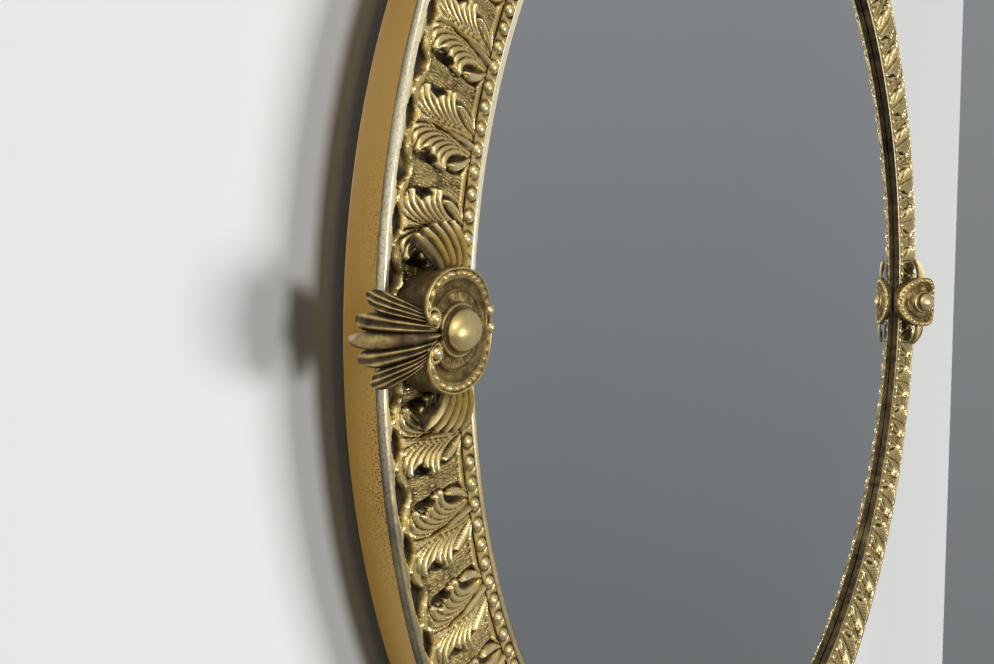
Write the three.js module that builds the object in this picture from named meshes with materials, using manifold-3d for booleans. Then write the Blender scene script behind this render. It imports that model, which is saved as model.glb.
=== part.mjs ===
// Convex butlers mirror: a brass frame with a leaf border, a pearl ring and four cast cartouches.
// Millimetres. X is right, Z is up, the front faces -Y and the wall is the plane Y = 0.
// R is a radius about the Y axis, and h is a height in front of the hoop's back edge.
import * as THREE from 'three';
import { mergeVertices } from 'three/addons/utils/BufferGeometryUtils.js';
import Module from 'manifold-3d';

const wasm = await Module();
wasm.setup();
const { Manifold, Mesh } = wasm;

// Driving dimensions
const SIGHT_R = 213.7; // inner edge of the brass lip
const BAND_W = 36.6; // ornamented border, lip to rim
const HOOP_DEPTH = 12.7; // side wall
const STANDOFF = 3; // hoop's back edge to the wall
const SHEET = 1.6; // rolled strip of the hoop
const GLASS_T = 3;
const GLASS_SAG = 20; // rise of the glass inside the sight edge
const GLASS_DROP = 3.6; // glass at the sight edge, behind the lip's face
const LIP_H = 14.5; // face of the lip
const BOARD_T = 3;
const REPEATS = 56; // leaf and panel, round the border
const PEARLS_PER_REPEAT = 4;
const PEARL_D = 4.4;
const STUD_D = 3;
const BUTTONS = 4;
const SCREW_D = 2.4;
const DISC_LOW_R = SIGHT_R - 6.1; // cartouche's lower tip, over the glass
const DISC_HALF_W = 15.8; // half width of a cartouche's disc
const COLLAR_HALF = [6.3, 9.3]; // half sizes of the oval collar round the boss
const LEAF_REACH = 27.5; // a side leaf's tip, from the cartouche's axis
const BUD_OUT = 8.1; // the palmette's middle tip, beyond the rim
const NUT_D = 6.2;
const NUT_T = 2.4;
const BUTTON_T = 1.2;
const BUTTON_SPAN = 14; // pivot to the middle of the button's far end
const HEAD_D = 4.4; // screw heads
const HEAD_T = 0.8;
const STRAP_L = 24;
const STRAP_W = 10;
const STRAP_T = 1;
const WIRE_D = 2.2;
const BUMPER_D = 7.4;

// Clearances
const SEAT = 0.3; // between seated pieces
const HOLE = 0.6; // hole over stud or screw, on the diameter
const TURN = 0.4; // beside what turns

// Derived sizes
const RIM_R = SIGHT_R + BAND_W;
const HOOP_R = RIM_R - 0.9;
const HOOP_BACK_R = HOOP_R - 0.6;
const HEM_R = HOOP_BACK_R - 4;
const OPENING_R = HEM_R - 9;
const SHELF_H = 2.5;
const GLASS_EDGE_H = LIP_H - GLASS_DROP;
const GLASS_R = SIGHT_R + 7;
const CUSHION_IN_R = GLASS_R - 12;
const DOME_R = (SIGHT_R ** 2 + GLASS_SAG ** 2) / (2 * GLASS_SAG);
const BOARD_FRONT = SHELF_H + BOARD_T;
const PEARL_R = SIGHT_R + 4.6;
const CHANNEL_H = LIP_H - 1;
const BAND_BACK = HOOP_DEPTH + SEAT;
const STUD_R = OPENING_R + 4.5;
const STUD_U = 8; // stud beside the cartouche's axis
const SEAT_H = LIP_H + 3.5; // flat back of a cartouche over the border
const DISC_TOP_R = RIM_R - 3;
const BOSS_R = DISC_LOW_R + 0.62 * (DISC_TOP_R - DISC_LOW_R);
const DISC_FOOT_H = GLASS_EDGE_H - 4; // below all that a cartouche sits on
const PIVOT_R = OPENING_R + 4;
const NUT_TOP = HOOP_DEPTH - 1.3 - SEAT;
const NUT_LOW = NUT_TOP - NUT_T;
const BUTTON_END = HEM_R - PIVOT_R - 2 * TURN; // radius of the button's round ends
const BUTTON_TOP = SHELF_H - SEAT;
const STRAP_Z = OPENING_R - STRAP_L - 10.1; // lower end of the strap
const EYE_R = WIRE_D / 2 + TURN;
const EYE_Z = STRAP_Z + STRAP_L + EYE_R + STRAP_T;
const EYE_H = SHELF_H - SEAT - EYE_R - STRAP_T;

const brass = { color: 0xa5874a, roughness: 0.34, metalness: 1 };
const paleBrass = { color: 0xc9b27a, roughness: 0.3, metalness: 1 };
const ochre = { color: 0xa8823f, roughness: 0.55, metalness: 0.35 };
const steel = { color: 0x9a9a96, roughness: 0.4, metalness: 1 };
const silvered = { color: 0x8d9396, roughness: 0.05, metalness: 1 };
const pine = { color: 0xb98f5e, roughness: 0.8, metalness: 0 };
const plywood = { color: 0x9c7448, roughness: 0.85, metalness: 0 };
const felt = { color: 0x39443a, roughness: 1, metalness: 0 };
const rubber = { color: 0x2a2826, roughness: 0.8, metalness: 0 };

const group = new THREE.Group();

function add(name, geometry, look, { turn = 0, x = 0, z = 0 } = {}) {
  const mesh = new THREE.Mesh(geometry, new THREE.MeshStandardMaterial(look));
  mesh.name = name;
  mesh.position.set(x, 0, z);
  mesh.rotation.y = -turn;
  group.add(mesh);
  return mesh;
}

// Height of the front and back of the glass at radius R
const glassFront = (R) => GLASS_EDGE_H + Math.sqrt(DOME_R ** 2 - R ** 2)
  - Math.sqrt(DOME_R ** 2 - SIGHT_R ** 2);
const glassBack = (R) => glassFront(R) - GLASS_T;

// A point at radius R, angle a from +X towards +Z, and height h
const polar = (R, a, h) => [R * Math.cos(a), -(STANDOFF + h), R * Math.sin(a)];

// A point of a cartouche drawn at the top of the mirror: u to the side, R outward, h forward
const local = (u, R, h) => [u, -(STANDOFF + h), R];

// A solid between rows of points. Each row is a list of { t, p } along the piece, t from 0 to 1,
// and rows may have different counts. Rows follow each other round the section, the last meeting
// the first. A ring's rows run all the way round; any other piece is capped by its end sections.
function loft(rows, ring) {
  const points = [];
  const index = rows.map((row) => row.map(({ p }) => points.push(p) - 1));
  const faces = [];
  rows.forEach((rowA, k) => {
    const m = (k + 1) % rows.length;
    const rowB = rows[m];
    const lastA = ring ? rowA.length : rowA.length - 1;
    const lastB = ring ? rowB.length : rowB.length - 1;
    const at = (row, i) => (i >= row.length ? 1 : row[i].t);
    const id = (list, i) => list[i % list.length];
    let i = 0;
    let j = 0;
    while (i < lastA || j < lastB) {
      const nextA = i < lastA ? at(rowA, i + 1) : 2;
      const nextB = j < lastB ? at(rowB, j + 1) : 2;
      if (nextA <= nextB + 1e-9) {
        faces.push([id(index[k], i), id(index[k], i + 1), id(index[m], j)]);
        i += 1;
      } else {
        faces.push([id(index[k], i), id(index[m], j + 1), id(index[m], j)]);
        j += 1;
      }
    }
  });
  if (!ring) {
    capEnd(rows.map((row) => row[0].p), index.map((list) => list[0]), faces, false);
    capEnd(rows.map((row) => row.at(-1).p), index.map((list) => list.at(-1)), faces, true);
  }
  return outward(points, faces);
}

// Closes an end section, flattened on its own plane
function capEnd(points, ids, faces, last) {
  const o = new THREE.Vector3(...points[0]);
  const v = points.map((p) => new THREE.Vector3(...p).sub(o));
  const normal = new THREE.Vector3();
  v.forEach((a, i) => normal.add(a.clone().cross(v[(i + 1) % v.length])));
  normal.normalize();
  const across = v[1].clone().normalize();
  const up = normal.clone().cross(across);
  const flat = v.map((a) => new THREE.Vector2(a.dot(across), a.dot(up)));
  for (const [a, b, c] of THREE.ShapeUtils.triangulateShape(flat, [])) {
    faces.push(last ? [ids[a], ids[c], ids[b]] : [ids[a], ids[b], ids[c]]);
  }
}

// A geometry from shared points and triangles, turned so that its faces look outward
function outward(points, faces) {
  const edge = new THREE.Vector3();
  let volume = 0;
  for (const [a, b, c] of faces) {
    edge.set(...points[b]).cross(new THREE.Vector3(...points[c]));
    volume += edge.dot(new THREE.Vector3(...points[a]));
  }
  const order = volume < 0 ? faces.map(([a, b, c]) => [a, c, b]) : faces;
  const geometry = new THREE.BufferGeometry();
  geometry.setAttribute('position', new THREE.Float32BufferAttribute(points.flat(), 3));
  geometry.setIndex(order.flat());
  return geometry;
}

// Booleans work on solids made from closed geometries
function solid(geometry) {
  const bare = new THREE.BufferGeometry();
  bare.setAttribute('position', geometry.getAttribute('position'));
  if (geometry.index) bare.setIndex(geometry.index);
  const merged = mergeVertices(bare, 1e-4);
  return new Manifold(new Mesh({
    numProp: 3,
    vertProperties: new Float32Array(merged.getAttribute('position').array),
    triVerts: new Uint32Array(merged.index.array),
  }));
}

function geometryOf(body) {
  const mesh = body.getMesh();
  const geometry = new THREE.BufferGeometry();
  geometry.setAttribute('position', new THREE.BufferAttribute(mesh.vertProperties, 3));
  geometry.setIndex(new THREE.BufferAttribute(mesh.triVerts, 1));
  return geometry;
}

const join = (geometries) => geometryOf(geometries.map(solid).reduce((a, b) => a.add(b)));
const cut = (geometry, tools) => geometryOf(tools.map(solid).reduce((a, b) => a.subtract(b),
  solid(geometry)));

// A plain pin along Y at x, z, between heights h0 and h1
function pin(diameter, x, z, h0, h1, sides = 8) {
  const geometry = new THREE.CylinderGeometry(diameter / 2, diameter / 2, h1 - h0, sides);
  return geometry.translate(x, -(STANDOFF + (h0 + h1) / 2), z);
}

const onCircle = (R, a) => [R * Math.cos(a), R * Math.sin(a)];

// Four quarters start at the right, top, left and bottom
const QUARTERS = [0, 1, 2, 3].map((k) => k * Math.PI / 2);

// Both studs of each cartouche, as x, z places round the mirror
const studPlaces = QUARTERS.flatMap((a) => [-1, 1].map((side) => {
  const [x, z] = onCircle(STUD_R, a);
  return [x - side * STUD_U * Math.sin(a), z + side * STUD_U * Math.cos(a)];
}));

const buttonAngles = Array.from({ length: BUTTONS }, (_, k) => (2 * k + 1) * Math.PI / BUTTONS);

// The hoop: a rolled strip with a front flange, a thick back hem and a shelf inside the hem
function sideHoop() {
  const section = [
    [HOOP_BACK_R, 0, 2],
    [HOOP_R, HOOP_DEPTH, 2],
    [OPENING_R, HOOP_DEPTH, 1],
    [OPENING_R, HOOP_DEPTH - 1.3, 1],
    [HOOP_R - SHEET, HOOP_DEPTH - 1.3, 1],
    [HOOP_R - SHEET - 0.3, SHELF_H + SHEET, 1],
    [OPENING_R, SHELF_H + SHEET, 1],
    [OPENING_R, SHELF_H, 1],
    [HEM_R, SHELF_H, 1],
    [HEM_R, 0, 1],
  ];
  const rows = section.map(([R, h, per]) => ringRow(R, () => h, per));
  const holes = studPlaces.map(([x, z]) => pin(STUD_D + HOLE, x, z, HOOP_DEPTH - 3, HOOP_DEPTH + 2));
  const pivots = buttonAngles.map((a) => {
    const [x, z] = onCircle(PIVOT_R, a);
    return pin(SCREW_D + HOLE, x, z, SHELF_H - 1, SHELF_H + SHEET + 1);
  });
  return cut(loft(rows, true), [...holes, ...pivots]);
}

// A closed row with a number of even stations in each repeat
function ringRow(R, h, per) {
  const count = REPEATS * per;
  return Array.from({ length: count }, (_, i) => {
    const a = 2 * Math.PI * i / count;
    return { t: i / count, p: polar(R, a, h(a)) };
  });
}

// Smooth step from 0 at a to 1 at b
function ease(x, a, b) {
  const t = Math.min(Math.max((x - a) / (b - a), 0), 1);
  return t * t * (3 - 2 * t);
}

// Height of the leaf border. s runs from 0 at the channel to 1 at the rim. phase is 0 in the
// middle of a scale panel and 0.5 on the stem of a leaf.
function leafRelief(s, phase) {
  const d = Math.abs(phase - Math.round(phase)); // 0 on the panel, 0.5 on the stem
  const cushion = BAND_BACK + 2.2 + 1.9 * Math.sin(Math.PI * Math.min(s * 0.95, 1)) * (1 - 0.35 * s);
  const leaf = 0.9 * ease(d, 0.1 + 0.04 * s, 0.2 + 0.04 * s);
  const groove = -0.5 * Math.exp(-(((d - 0.4) / 0.05) ** 2)) * ease(s, 0.1, 0.5);
  const eye = -2 * Math.exp(-(((d - 0.27) / 0.09) ** 2) - (((s - 0.25) / 0.16) ** 2));
  const panel = -0.5 * (1 - ease(d, 0.08, 0.18));
  const longHollow = 1 - ease(d, 0.2, 0.3);
  const shortHollow = ease(d, 0.35, 0.45) * 0.9;
  const trough = Math.exp(-(((s - 0.85) / 0.07) ** 2));
  return cushion + leaf + groove + eye + panel - 2.4 * trough * Math.max(longHollow, shortHollow);
}

const LEAF_STATIONS = [0, 0.2, 0.4, 0.6, 0.8]; // phases at which the border is cut
const LEAF_ROWS = [0.95, 0.85, 0.73, 0.3, 0.03];

// A quarter of the border, from one cartouche's stem to the next
function bandQuarter() {
  const half = Math.PI / 4 - SEAT / 2 / SIGHT_R;
  const inner = PEARL_R + PEARL_D / 2 + SEAT;
  const wide = RIM_R - inner;
  const end = Math.PI / 4;
  const even = (R, h, per) => {
    const count = REPEATS / 4 * per;
    return Array.from({ length: count + 1 }, (_, i) => {
      const t = i / count;
      return { t, p: polar(R, end + half * (2 * t - 1), h) };
    });
  };
  const carved = (s) => {
    const count = REPEATS / 4;
    const phases = [0.5];
    for (let k = 0; k <= count; k += 1) {
      phases.push(...LEAF_STATIONS.map((f) => k + f).filter((f) => f > 0.5 && f < count + 0.5));
    }
    phases.push(count + 0.5);
    return phases.map((f) => {
      const t = (f - 0.5) / count;
      return { t, p: polar(inner + s * wide, end + half * (2 * t - 1), leafRelief(s, f)) };
    });
  };
  const rows = [
    even(RIM_R, BAND_BACK, 2),
    even(RIM_R, BAND_BACK + 1.5, 2),
    ...LEAF_ROWS.map(carved),
    even(inner, CHANNEL_H, 1),
    even(PEARL_R - PEARL_D / 2 - SEAT, CHANNEL_H, 1),
    even(PEARL_R - PEARL_D / 2 - SEAT, LIP_H, 2),
    even(SIGHT_R, LIP_H - 0.3, 2),
    even(SIGHT_R, glassFront(SIGHT_R) + SEAT, 2),
    even(SIGHT_R + 1.3, glassFront(SIGHT_R) + SEAT, 1),
    even(SIGHT_R + 1.5, CHANNEL_H - 1.2, 1),
    even(inner + 2, CHANNEL_H - 1.2, 1),
    even(inner + 4, BAND_BACK, 1),
  ];
  const studs = [[STUD_R, STUD_U], [STUD_U, STUD_R]];
  return cut(loft(rows, false), studs.map(([x, z]) => pin(STUD_D + HOLE, x, z, BAND_BACK - 1, SEAT_H + 2)));
}

// The pearls: a wire whose top swells into round beads, flat where it lies in the channel
function pearlRing() {
  const low = CHANNEL_H + SEAT;
  const beads = REPEATS * PEARLS_PER_REPEAT;
  const beaded = (side, up) => Array.from({ length: 2 * beads }, (_, i) => {
    const r = PEARL_D / 2 * (i % 2 ? 0.45 : 1);
    return { t: i / (2 * beads), p: polar(PEARL_R + side * r, Math.PI * i / beads, low + 0.4 + up * r) };
  });
  return loft([
    ringRow(PEARL_R - PEARL_D / 4, () => low, 1),
    ringRow(PEARL_R + PEARL_D / 4, () => low, 1),
    beaded(0.85, 0.6),
    beaded(-0.85, 0.6),
  ], true);
}

// Height of a cartouche's face at radius R: low over the glass, swelling towards the rim
function faceH(R) {
  const back = Math.max((DISC_TOP_R - R) / (DISC_TOP_R - DISC_LOW_R), 0);
  return SEAT_H + 9.2 - 12.2 * back ** 1.8;
}

// Outline of the disc, from its lower tip over the shoulders to the notch between the scrolls
function discOutline(count) {
  const w = DISC_HALF_W;
  const half = new THREE.CatmullRomCurve3([
    [0, DISC_LOW_R], [0.5 * w, DISC_LOW_R + 3.4], [0.87 * w, BOSS_R - 11.5], [w, BOSS_R + 1],
    [0.87 * w, DISC_TOP_R - 4], [0.5 * w, DISC_TOP_R], [0.15 * w, DISC_TOP_R - 2], [0, DISC_TOP_R - 6.5],
  ].map(([u, R]) => new THREE.Vector3(u, R, 0)), false, 'centripetal').getSpacedPoints(count / 2);
  const right = half.map(({ x, y }) => [x, y]);
  return [...right, ...right.slice(1, -1).reverse().map(([u, R]) => [-u, R])];
}

// The disc of a cartouche: rings that shrink from its outline to the oval boss. inward is how far
// a ring has moved from the outline to the collar, scale sizes the rings inside the collar.
function disc() {
  const outline = discOutline(16);
  const rings = [
    { inward: 0, foot: true },
    { inward: 0, lift: -1.2 },
    { inward: 0.1, lift: 0.5 },
    { inward: 0.5, lift: -0.5 },
    { inward: 0.9, lift: -0.9 },
    { inward: 1, lift: 0.9 },
    { scale: 0.84, lift: 0 },
    { scale: 0.55, lift: 3.4 },
  ];
  const points = [];
  const [collarU, collarR] = COLLAR_HALF;
  rings.forEach(({ inward = 1, scale = 1, lift = 0, foot = false }) => outline.forEach(([u, R]) => {
    const a = Math.atan2(R - BOSS_R, u);
    const x = u + (collarU * scale * Math.cos(a) - u) * inward;
    const r = R + (BOSS_R + collarR * scale * Math.sin(a) - R) * inward;
    const face = inward < 1 ? faceH(r) : faceH(BOSS_R) + 0.2 * (r - BOSS_R);
    points.push(local(x, r, foot ? DISC_FOOT_H : face + lift));
  }));
  const n = outline.length;
  const faces = [];
  for (let k = 0; k + 1 < rings.length; k += 1) {
    for (let i = 0; i < n; i += 1) {
      const j = (i + 1) % n;
      faces.push([k * n + i, k * n + j, (k + 1) * n + j], [k * n + i, (k + 1) * n + j, (k + 1) * n + i]);
    }
  }
  const top = points.push(local(0, BOSS_R, faceH(BOSS_R) + 5)) - 1;
  const under = points.push(local(0, BOSS_R, DISC_FOOT_H)) - 1;
  const last = (rings.length - 1) * n;
  for (let i = 0; i < n; i += 1) {
    const j = (i + 1) % n;
    faces.push([last + i, last + j, top], [j, i, under]);
  }
  return outward(points, faces);
}

// A ribbed leaf between a front skin and a back skin. place(a, s) gives [u, R, h] and the way in
// which it is thick, for a across the leaf from -1 to 1 and s along it from 0 to 1.
function leafSolid(columns, rowsAlong, ribs, place) {
  const points = [];
  const skin = (side) => {
    const first = points.length;
    for (let j = 0; j <= rowsAlong; j += 1) {
      for (let i = 0; i <= columns; i += 1) {
        const a = 2 * i / columns - 1;
        const ridge = i % 2 === 0 ? 1 : 0;
        const { at, normal, thick } = place(a, j / rowsAlong, ridge);
        const off = side > 0 ? ribs * ridge * (0.3 + 0.7 * j / rowsAlong) : -thick;
        points.push(local(at[0], at[1] + normal[0] * off, at[2] + normal[1] * off));
      }
    }
    return first;
  };
  const front = skin(1);
  const back = skin(-1);
  const w = columns + 1;
  const faces = [];
  const quad = (a, b, c, d) => faces.push([a, b, c], [a, c, d]);
  for (let j = 0; j < rowsAlong; j += 1) {
    for (let i = 0; i < columns; i += 1) {
      const p = j * w + i;
      quad(front + p, front + p + 1, front + p + w + 1, front + p + w);
      quad(back + p, back + p + w, back + p + w + 1, back + p + 1);
    }
    quad(front + j * w, front + (j + 1) * w, back + (j + 1) * w, back + j * w);
    const r = j * w + columns;
    quad(front + r, back + r, back + r + w, front + r + w);
  }
  for (let i = 0; i < columns; i += 1) {
    quad(front + i, back + i, back + i + 1, front + i + 1);
    const p = rowsAlong * w + i;
    quad(front + p, front + p + 1, back + p + 1, back + p);
  }
  return outward(points, faces);
}

// The palmette: from a narrow neck it fans out and curls down past the rim, its middle lobe longest
function palmette() {
  const tip = RIM_R + BUD_OUT;
  const spine = new THREE.CatmullRomCurve3([
    [DISC_TOP_R - 9, SEAT_H + 6.6], [DISC_TOP_R - 3.5, SEAT_H + 8.4], [RIM_R - 0.5, SEAT_H + 8],
    [tip - 3.6, SEAT_H + 5], [tip - 1.2, SEAT_H + 0.6], [tip, LIP_H - 3.2],
  ].map(([R, h]) => new THREE.Vector3(R, h, 0)));
  return leafSolid(8, 5, 0.7, (a, s, ridge) => {
    const reach = a === 0 ? 1 : 0.85 + (ridge ? 0.03 : -0.05);
    const along = s * reach;
    const p = spine.getPoint(along);
    const d = spine.getTangent(along);
    const u = a * (1.3 + 9 * ease(along, 0.12, 0.5));
    return { at: [u, p.x, p.y], normal: [-d.y, d.x], thick: 1.6 };
  });
}

// A side leaf springs from the disc's flank and stands over the border beside it
function sideLeaf(side) {
  const root = DISC_HALF_W - 2.6;
  return leafSolid(6, 2, 0.7, (a, s, ridge) => {
    const f = (a + 1) / 2;
    const reach = LEAF_REACH + 1.5 * Math.sin(Math.PI * f) - 3 * f + (ridge ? 0.4 : -0.6);
    const u = root + (reach - root) * s;
    const R = BOSS_R - 4.2 + 12 * f + (1 + 4 * f) * s - 3.5 * s * (1 - s);
    return { at: [side * u, R, SEAT_H + 3.6 - 1.3 * s * s], normal: [0, 1], thick: 2 };
  });
}

// What lies under a cartouche, raised by the seat clearance, to cut its back to shape
function seatTool() {
  const span = 0.16;
  const glassGap = 1;
  const edge = SIGHT_R - SEAT;
  const section = [
    [DISC_LOW_R - 8, -8], [DISC_LOW_R - 8, glassFront(DISC_LOW_R - 8) + glassGap],
    [edge, glassFront(edge) + glassGap], [edge, LIP_H + SEAT],
    [PEARL_R - PEARL_D / 2 - SEAT, LIP_H + SEAT], [PEARL_R - 2, CHANNEL_H + PEARL_D / 2 + 1],
    [PEARL_R + PEARL_D / 2 + SEAT, CHANNEL_H + PEARL_D / 2 + 1],
    [PEARL_R + PEARL_D / 2 + SEAT, SEAT_H], [RIM_R + SEAT, SEAT_H], [RIM_R + SEAT, -8],
  ];
  return loft(section.map(([R, h]) => Array.from({ length: 5 }, (_, i) => {
    return { t: i / 4, p: polar(R, Math.PI / 2 + span * (i / 2 - 1), h) };
  })), false);
}

// A cast cartouche at the top of the mirror, with its two studs
function cartouche() {
  const ball = (r, u, R, h) => new THREE.SphereGeometry(r, 6, 3).translate(...local(u, R, h));
  const balls = [-1, 1].flatMap((side) => [
    ball(1.8, side * 4.1, DISC_TOP_R - 3.8, faceH(DISC_TOP_R) - 0.6),
    ball(1.5, side * 2.5, DISC_LOW_R + 1.8, faceH(DISC_LOW_R) + 0.9),
  ]);
  const body = cut(join([disc(), ...balls]), [seatTool()]);
  const leaves = [palmette(), sideLeaf(-1), sideLeaf(1)];
  const studs = [-1, 1].map((side) => pin(STUD_D, side * STUD_U, STUD_R, NUT_LOW - 0.8, SEAT_H + 3));
  return geometryOf(solid(join([body, ...leaves, ...studs])).simplify(0.08));
}

// A flat plate from a shape in x, z, lying between heights h0 and h1
function plate(shape, h0, h1) {
  const geometry = new THREE.ExtrudeGeometry(shape, {
    depth: h1 - h0, bevelEnabled: false, curveSegments: 3,
  });
  return geometry.rotateX(Math.PI / 2).translate(0, -(STANDOFF + h0), 0);
}

function polygonPath(radius, sides) {
  const points = Array.from({ length: sides }, (_, i) => {
    return new THREE.Vector2(...onCircle(radius, 2 * Math.PI * i / sides));
  });
  return new THREE.Path(points);
}

// A hexagon nut about the Y axis
function nut() {
  const shape = new THREE.Shape(polygonPath(NUT_D / 2, 6).getPoints());
  shape.holes.push(polygonPath((STUD_D + HOLE) / 2, 6));
  return plate(shape, NUT_LOW, NUT_TOP);
}

// The convex glass, thin and even, its edge under the lip
function mirrorGlass() {
  const front = [0, 0.4, 0.75, 1].map((f) => [f * GLASS_R, glassFront(f * GLASS_R)]);
  const back = [GLASS_R, CUSHION_IN_R, 0.6 * GLASS_R, 0].map((R) => [R, glassBack(R)]);
  return lathe([...front, ...back], REPEATS);
}

// A solid of revolution about the Y axis from [R, h] points
function lathe(profile, segments) {
  const points = profile.map(([R, h]) => new THREE.Vector2(R, -(STANDOFF + h)));
  if (profile[0][0] > 0) points.push(points[0].clone());
  return rightWay(new THREE.LatheGeometry(points, segments));
}

function rightWay(geometry) {
  const merged = solidPoints(geometry);
  return outward(merged.points, merged.faces);
}

function solidPoints(geometry) {
  const bare = new THREE.BufferGeometry();
  bare.setAttribute('position', geometry.getAttribute('position'));
  if (geometry.index) bare.setIndex(geometry.index);
  const merged = mergeVertices(bare, 1e-4);
  const position = merged.getAttribute('position');
  const points = Array.from({ length: position.count }, (_, i) => [
    position.getX(i), position.getY(i), position.getZ(i)]);
  const list = Array.from(merged.index.array);
  const faces = [];
  for (let i = 0; i < list.length; i += 3) {
    const [a, b, c] = list.slice(i, i + 3);
    if (a !== b && b !== c && a !== c) faces.push([a, b, c]);
  }
  return { points, faces };
}

// A plain ring between two radii
function ring(section) {
  return loft(section.map(([R, h]) => ringRow(R, () => h, 1)), true);
}

function woodCore() {
  const inner = GLASS_R + 0.6;
  const outer = OPENING_R - 0.6;
  const low = BOARD_FRONT + SEAT;
  const high = CHANNEL_H - 1.2 - SEAT;
  return ring([[inner, low], [outer, low], [outer, high - 1.5], [inner, high - 1.5]]);
}

function glassCushion() {
  const outer = GLASS_R - 1.2;
  const inner = CUSHION_IN_R;
  const low = BOARD_FRONT + SEAT;
  return ring([
    [inner, low], [outer, low], [outer, glassBack(outer) - SEAT], [inner, glassBack(inner) - SEAT]]);
}

function backboard() {
  const h = (SHELF_H + BOARD_FRONT) / 2;
  const geometry = new THREE.CylinderGeometry(OPENING_R - 0.7, OPENING_R - 0.7, BOARD_T, REPEATS);
  return geometry.translate(0, -(STANDOFF + h), 0);
}

// A turn button, drawn with its pivot at the origin and its long end towards the mirror's centre
function turnButton() {
  const r = BUTTON_END;
  const shape = new THREE.Shape();
  shape.absarc(0, 0, r, 0, Math.PI, false);
  shape.absarc(0, -BUTTON_SPAN, r, Math.PI, 2 * Math.PI, false);
  shape.closePath();
  shape.holes.push(polygonPath((SCREW_D + HOLE) / 2, 8));
  return plate(shape, BUTTON_TOP - BUTTON_T, BUTTON_TOP);
}

// A pan-head screw along Y, its head bearing on a face at height h and its shank reaching to end
function screw(h, end) {
  const r = SCREW_D / 2;
  const head = HEAD_D / 2;
  const under = h - SEAT;
  const top = under - HEAD_T;
  return lathe([[0, top], [head, top], [head, under], [r, under], [r, end], [0, end]], 6);
}

const strapScrews = [STRAP_Z + 4.5, STRAP_Z + STRAP_L - 7];

// The hanger's strap: a flat tongue whose upper end is rolled into an eye round the ring's bar
function hangerStrap() {
  const top = SHELF_H - SEAT;
  const outer = EYE_R + STRAP_T;
  const shape = new THREE.Shape();
  shape.moveTo(STRAP_Z, top - STRAP_T);
  shape.lineTo(EYE_Z - outer * 0.9, top - STRAP_T);
  shape.absarc(EYE_Z, EYE_H, outer, Math.PI * 0.86, Math.PI * 2.5, false);
  shape.lineTo(STRAP_Z, top);
  shape.closePath();
  const eye = new THREE.Path();
  eye.absarc(EYE_Z, EYE_H, EYE_R, 0, 2 * Math.PI, true);
  shape.holes.push(eye);
  const side = new THREE.ExtrudeGeometry(shape, {
    depth: STRAP_W, bevelEnabled: false, curveSegments: 6,
  });
  const turn = new THREE.Matrix4().makeBasis(
    new THREE.Vector3(0, 0, 1), new THREE.Vector3(0, -1, 0), new THREE.Vector3(1, 0, 0));
  side.applyMatrix4(turn).translate(-STRAP_W / 2, -STANDOFF, 0);
  return cut(rightWay(side), strapScrews.map((z) => pin(SCREW_D + HOLE, 0, z, 0, SHELF_H + 1)));
}

// The D-ring: a straight bar through the eye and a round bow above it
function hangerRing() {
  const halfBar = STRAP_W / 2 + 3;
  const bow = halfBar + 1.5;
  const path = new THREE.CatmullRomCurve3([
    [0, 0], [halfBar - 1.5, 0], [halfBar + 0.6, 1.2], [bow, 5], [bow * 0.72, 10.6], [0, 13.4],
    [-bow * 0.72, 10.6], [-bow, 5], [-halfBar - 0.6, 1.2], [-halfBar + 1.5, 0],
  ].map(([x, z]) => new THREE.Vector3(x, -(STANDOFF + EYE_H), EYE_Z + z)), true, 'centripetal');
  const stations = path.getSpacedPoints(24).slice(0, -1);
  const sides = 5;
  return loft(Array.from({ length: sides }, (_, k) => stations.map((p, i) => {
    const before = stations.at(i - 1);
    const after = stations[(i + 1) % stations.length];
    const along = after.clone().sub(before).normalize();
    const out = new THREE.Vector3(along.z, 0, -along.x);
    const a = 2 * Math.PI * k / sides;
    const q = p.clone().addScaledVector(out, WIRE_D / 2 * Math.cos(a));
    q.y += WIRE_D / 2 * Math.sin(a);
    return { t: i / stations.length, p: q.toArray() };
  })), true);
}

add('side_hoop', sideHoop(), ochre);
['upper_right', 'upper_left', 'lower_left', 'lower_right'].forEach((place, k) => {
  add(`front_band_${place}`, bandQuarter(), brass, { turn: QUARTERS[k] });
});
add('pearl_ring', pearlRing(), brass);
['top', 'left', 'bottom', 'right'].forEach((place, k) => {
  add(`cartouche_${place}`, cartouche(), brass, { turn: QUARTERS[k] });
});
studPlaces.forEach(([x, z], k) => add(`cartouche_nut_${k + 1}`, nut(), steel, { x, z }));
add('mirror_glass', mirrorGlass(), silvered);
add('wood_core', woodCore(), pine);
add('glass_cushion', glassCushion(), felt);
add('backboard', backboard(), plywood);
buttonAngles.forEach((a, k) => {
  const [x, z] = onCircle(PIVOT_R, a);
  add(`turn_button_${k + 1}`, turnButton(), paleBrass, { turn: a - Math.PI / 2, x, z });
  const shank = screw(BUTTON_TOP - BUTTON_T, SHELF_H + SHEET + 0.6);
  add(`turn_button_screw_${k + 1}`, shank, steel, { x, z });
});
add('hanger_strap', hangerStrap(), paleBrass);
add('hanger_ring', hangerRing(), paleBrass);
strapScrews.forEach((z, k) => {
  add(`hanger_screw_${k + 1}`, screw(SHELF_H - SEAT - STRAP_T, SHELF_H - 0.1), steel, { z });
});
[-2, -1].forEach((side, k) => {
  const [x, z] = onCircle(PIVOT_R, side * Math.PI / 3);
  add(`wall_bumper_${k + 1}`, pin(BUMPER_D, 0, 0, -STANDOFF, SHELF_H - SEAT, 10), rubber, { x, z });
});

export default group;
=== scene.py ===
"""Looks of a convex butlers mirror: a brass frame with a leaf border, a ring of pearls,
a lacquered hoop and four cast cartouches round a bulging glass, hung on a pale wall.

Shapes are worked out in millimetres. R is a radius about the Y axis, a is an angle from +X
towards +Z, and h is a height in front of the hoop's back edge. Meshes are in metres.
"""

import math

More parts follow.
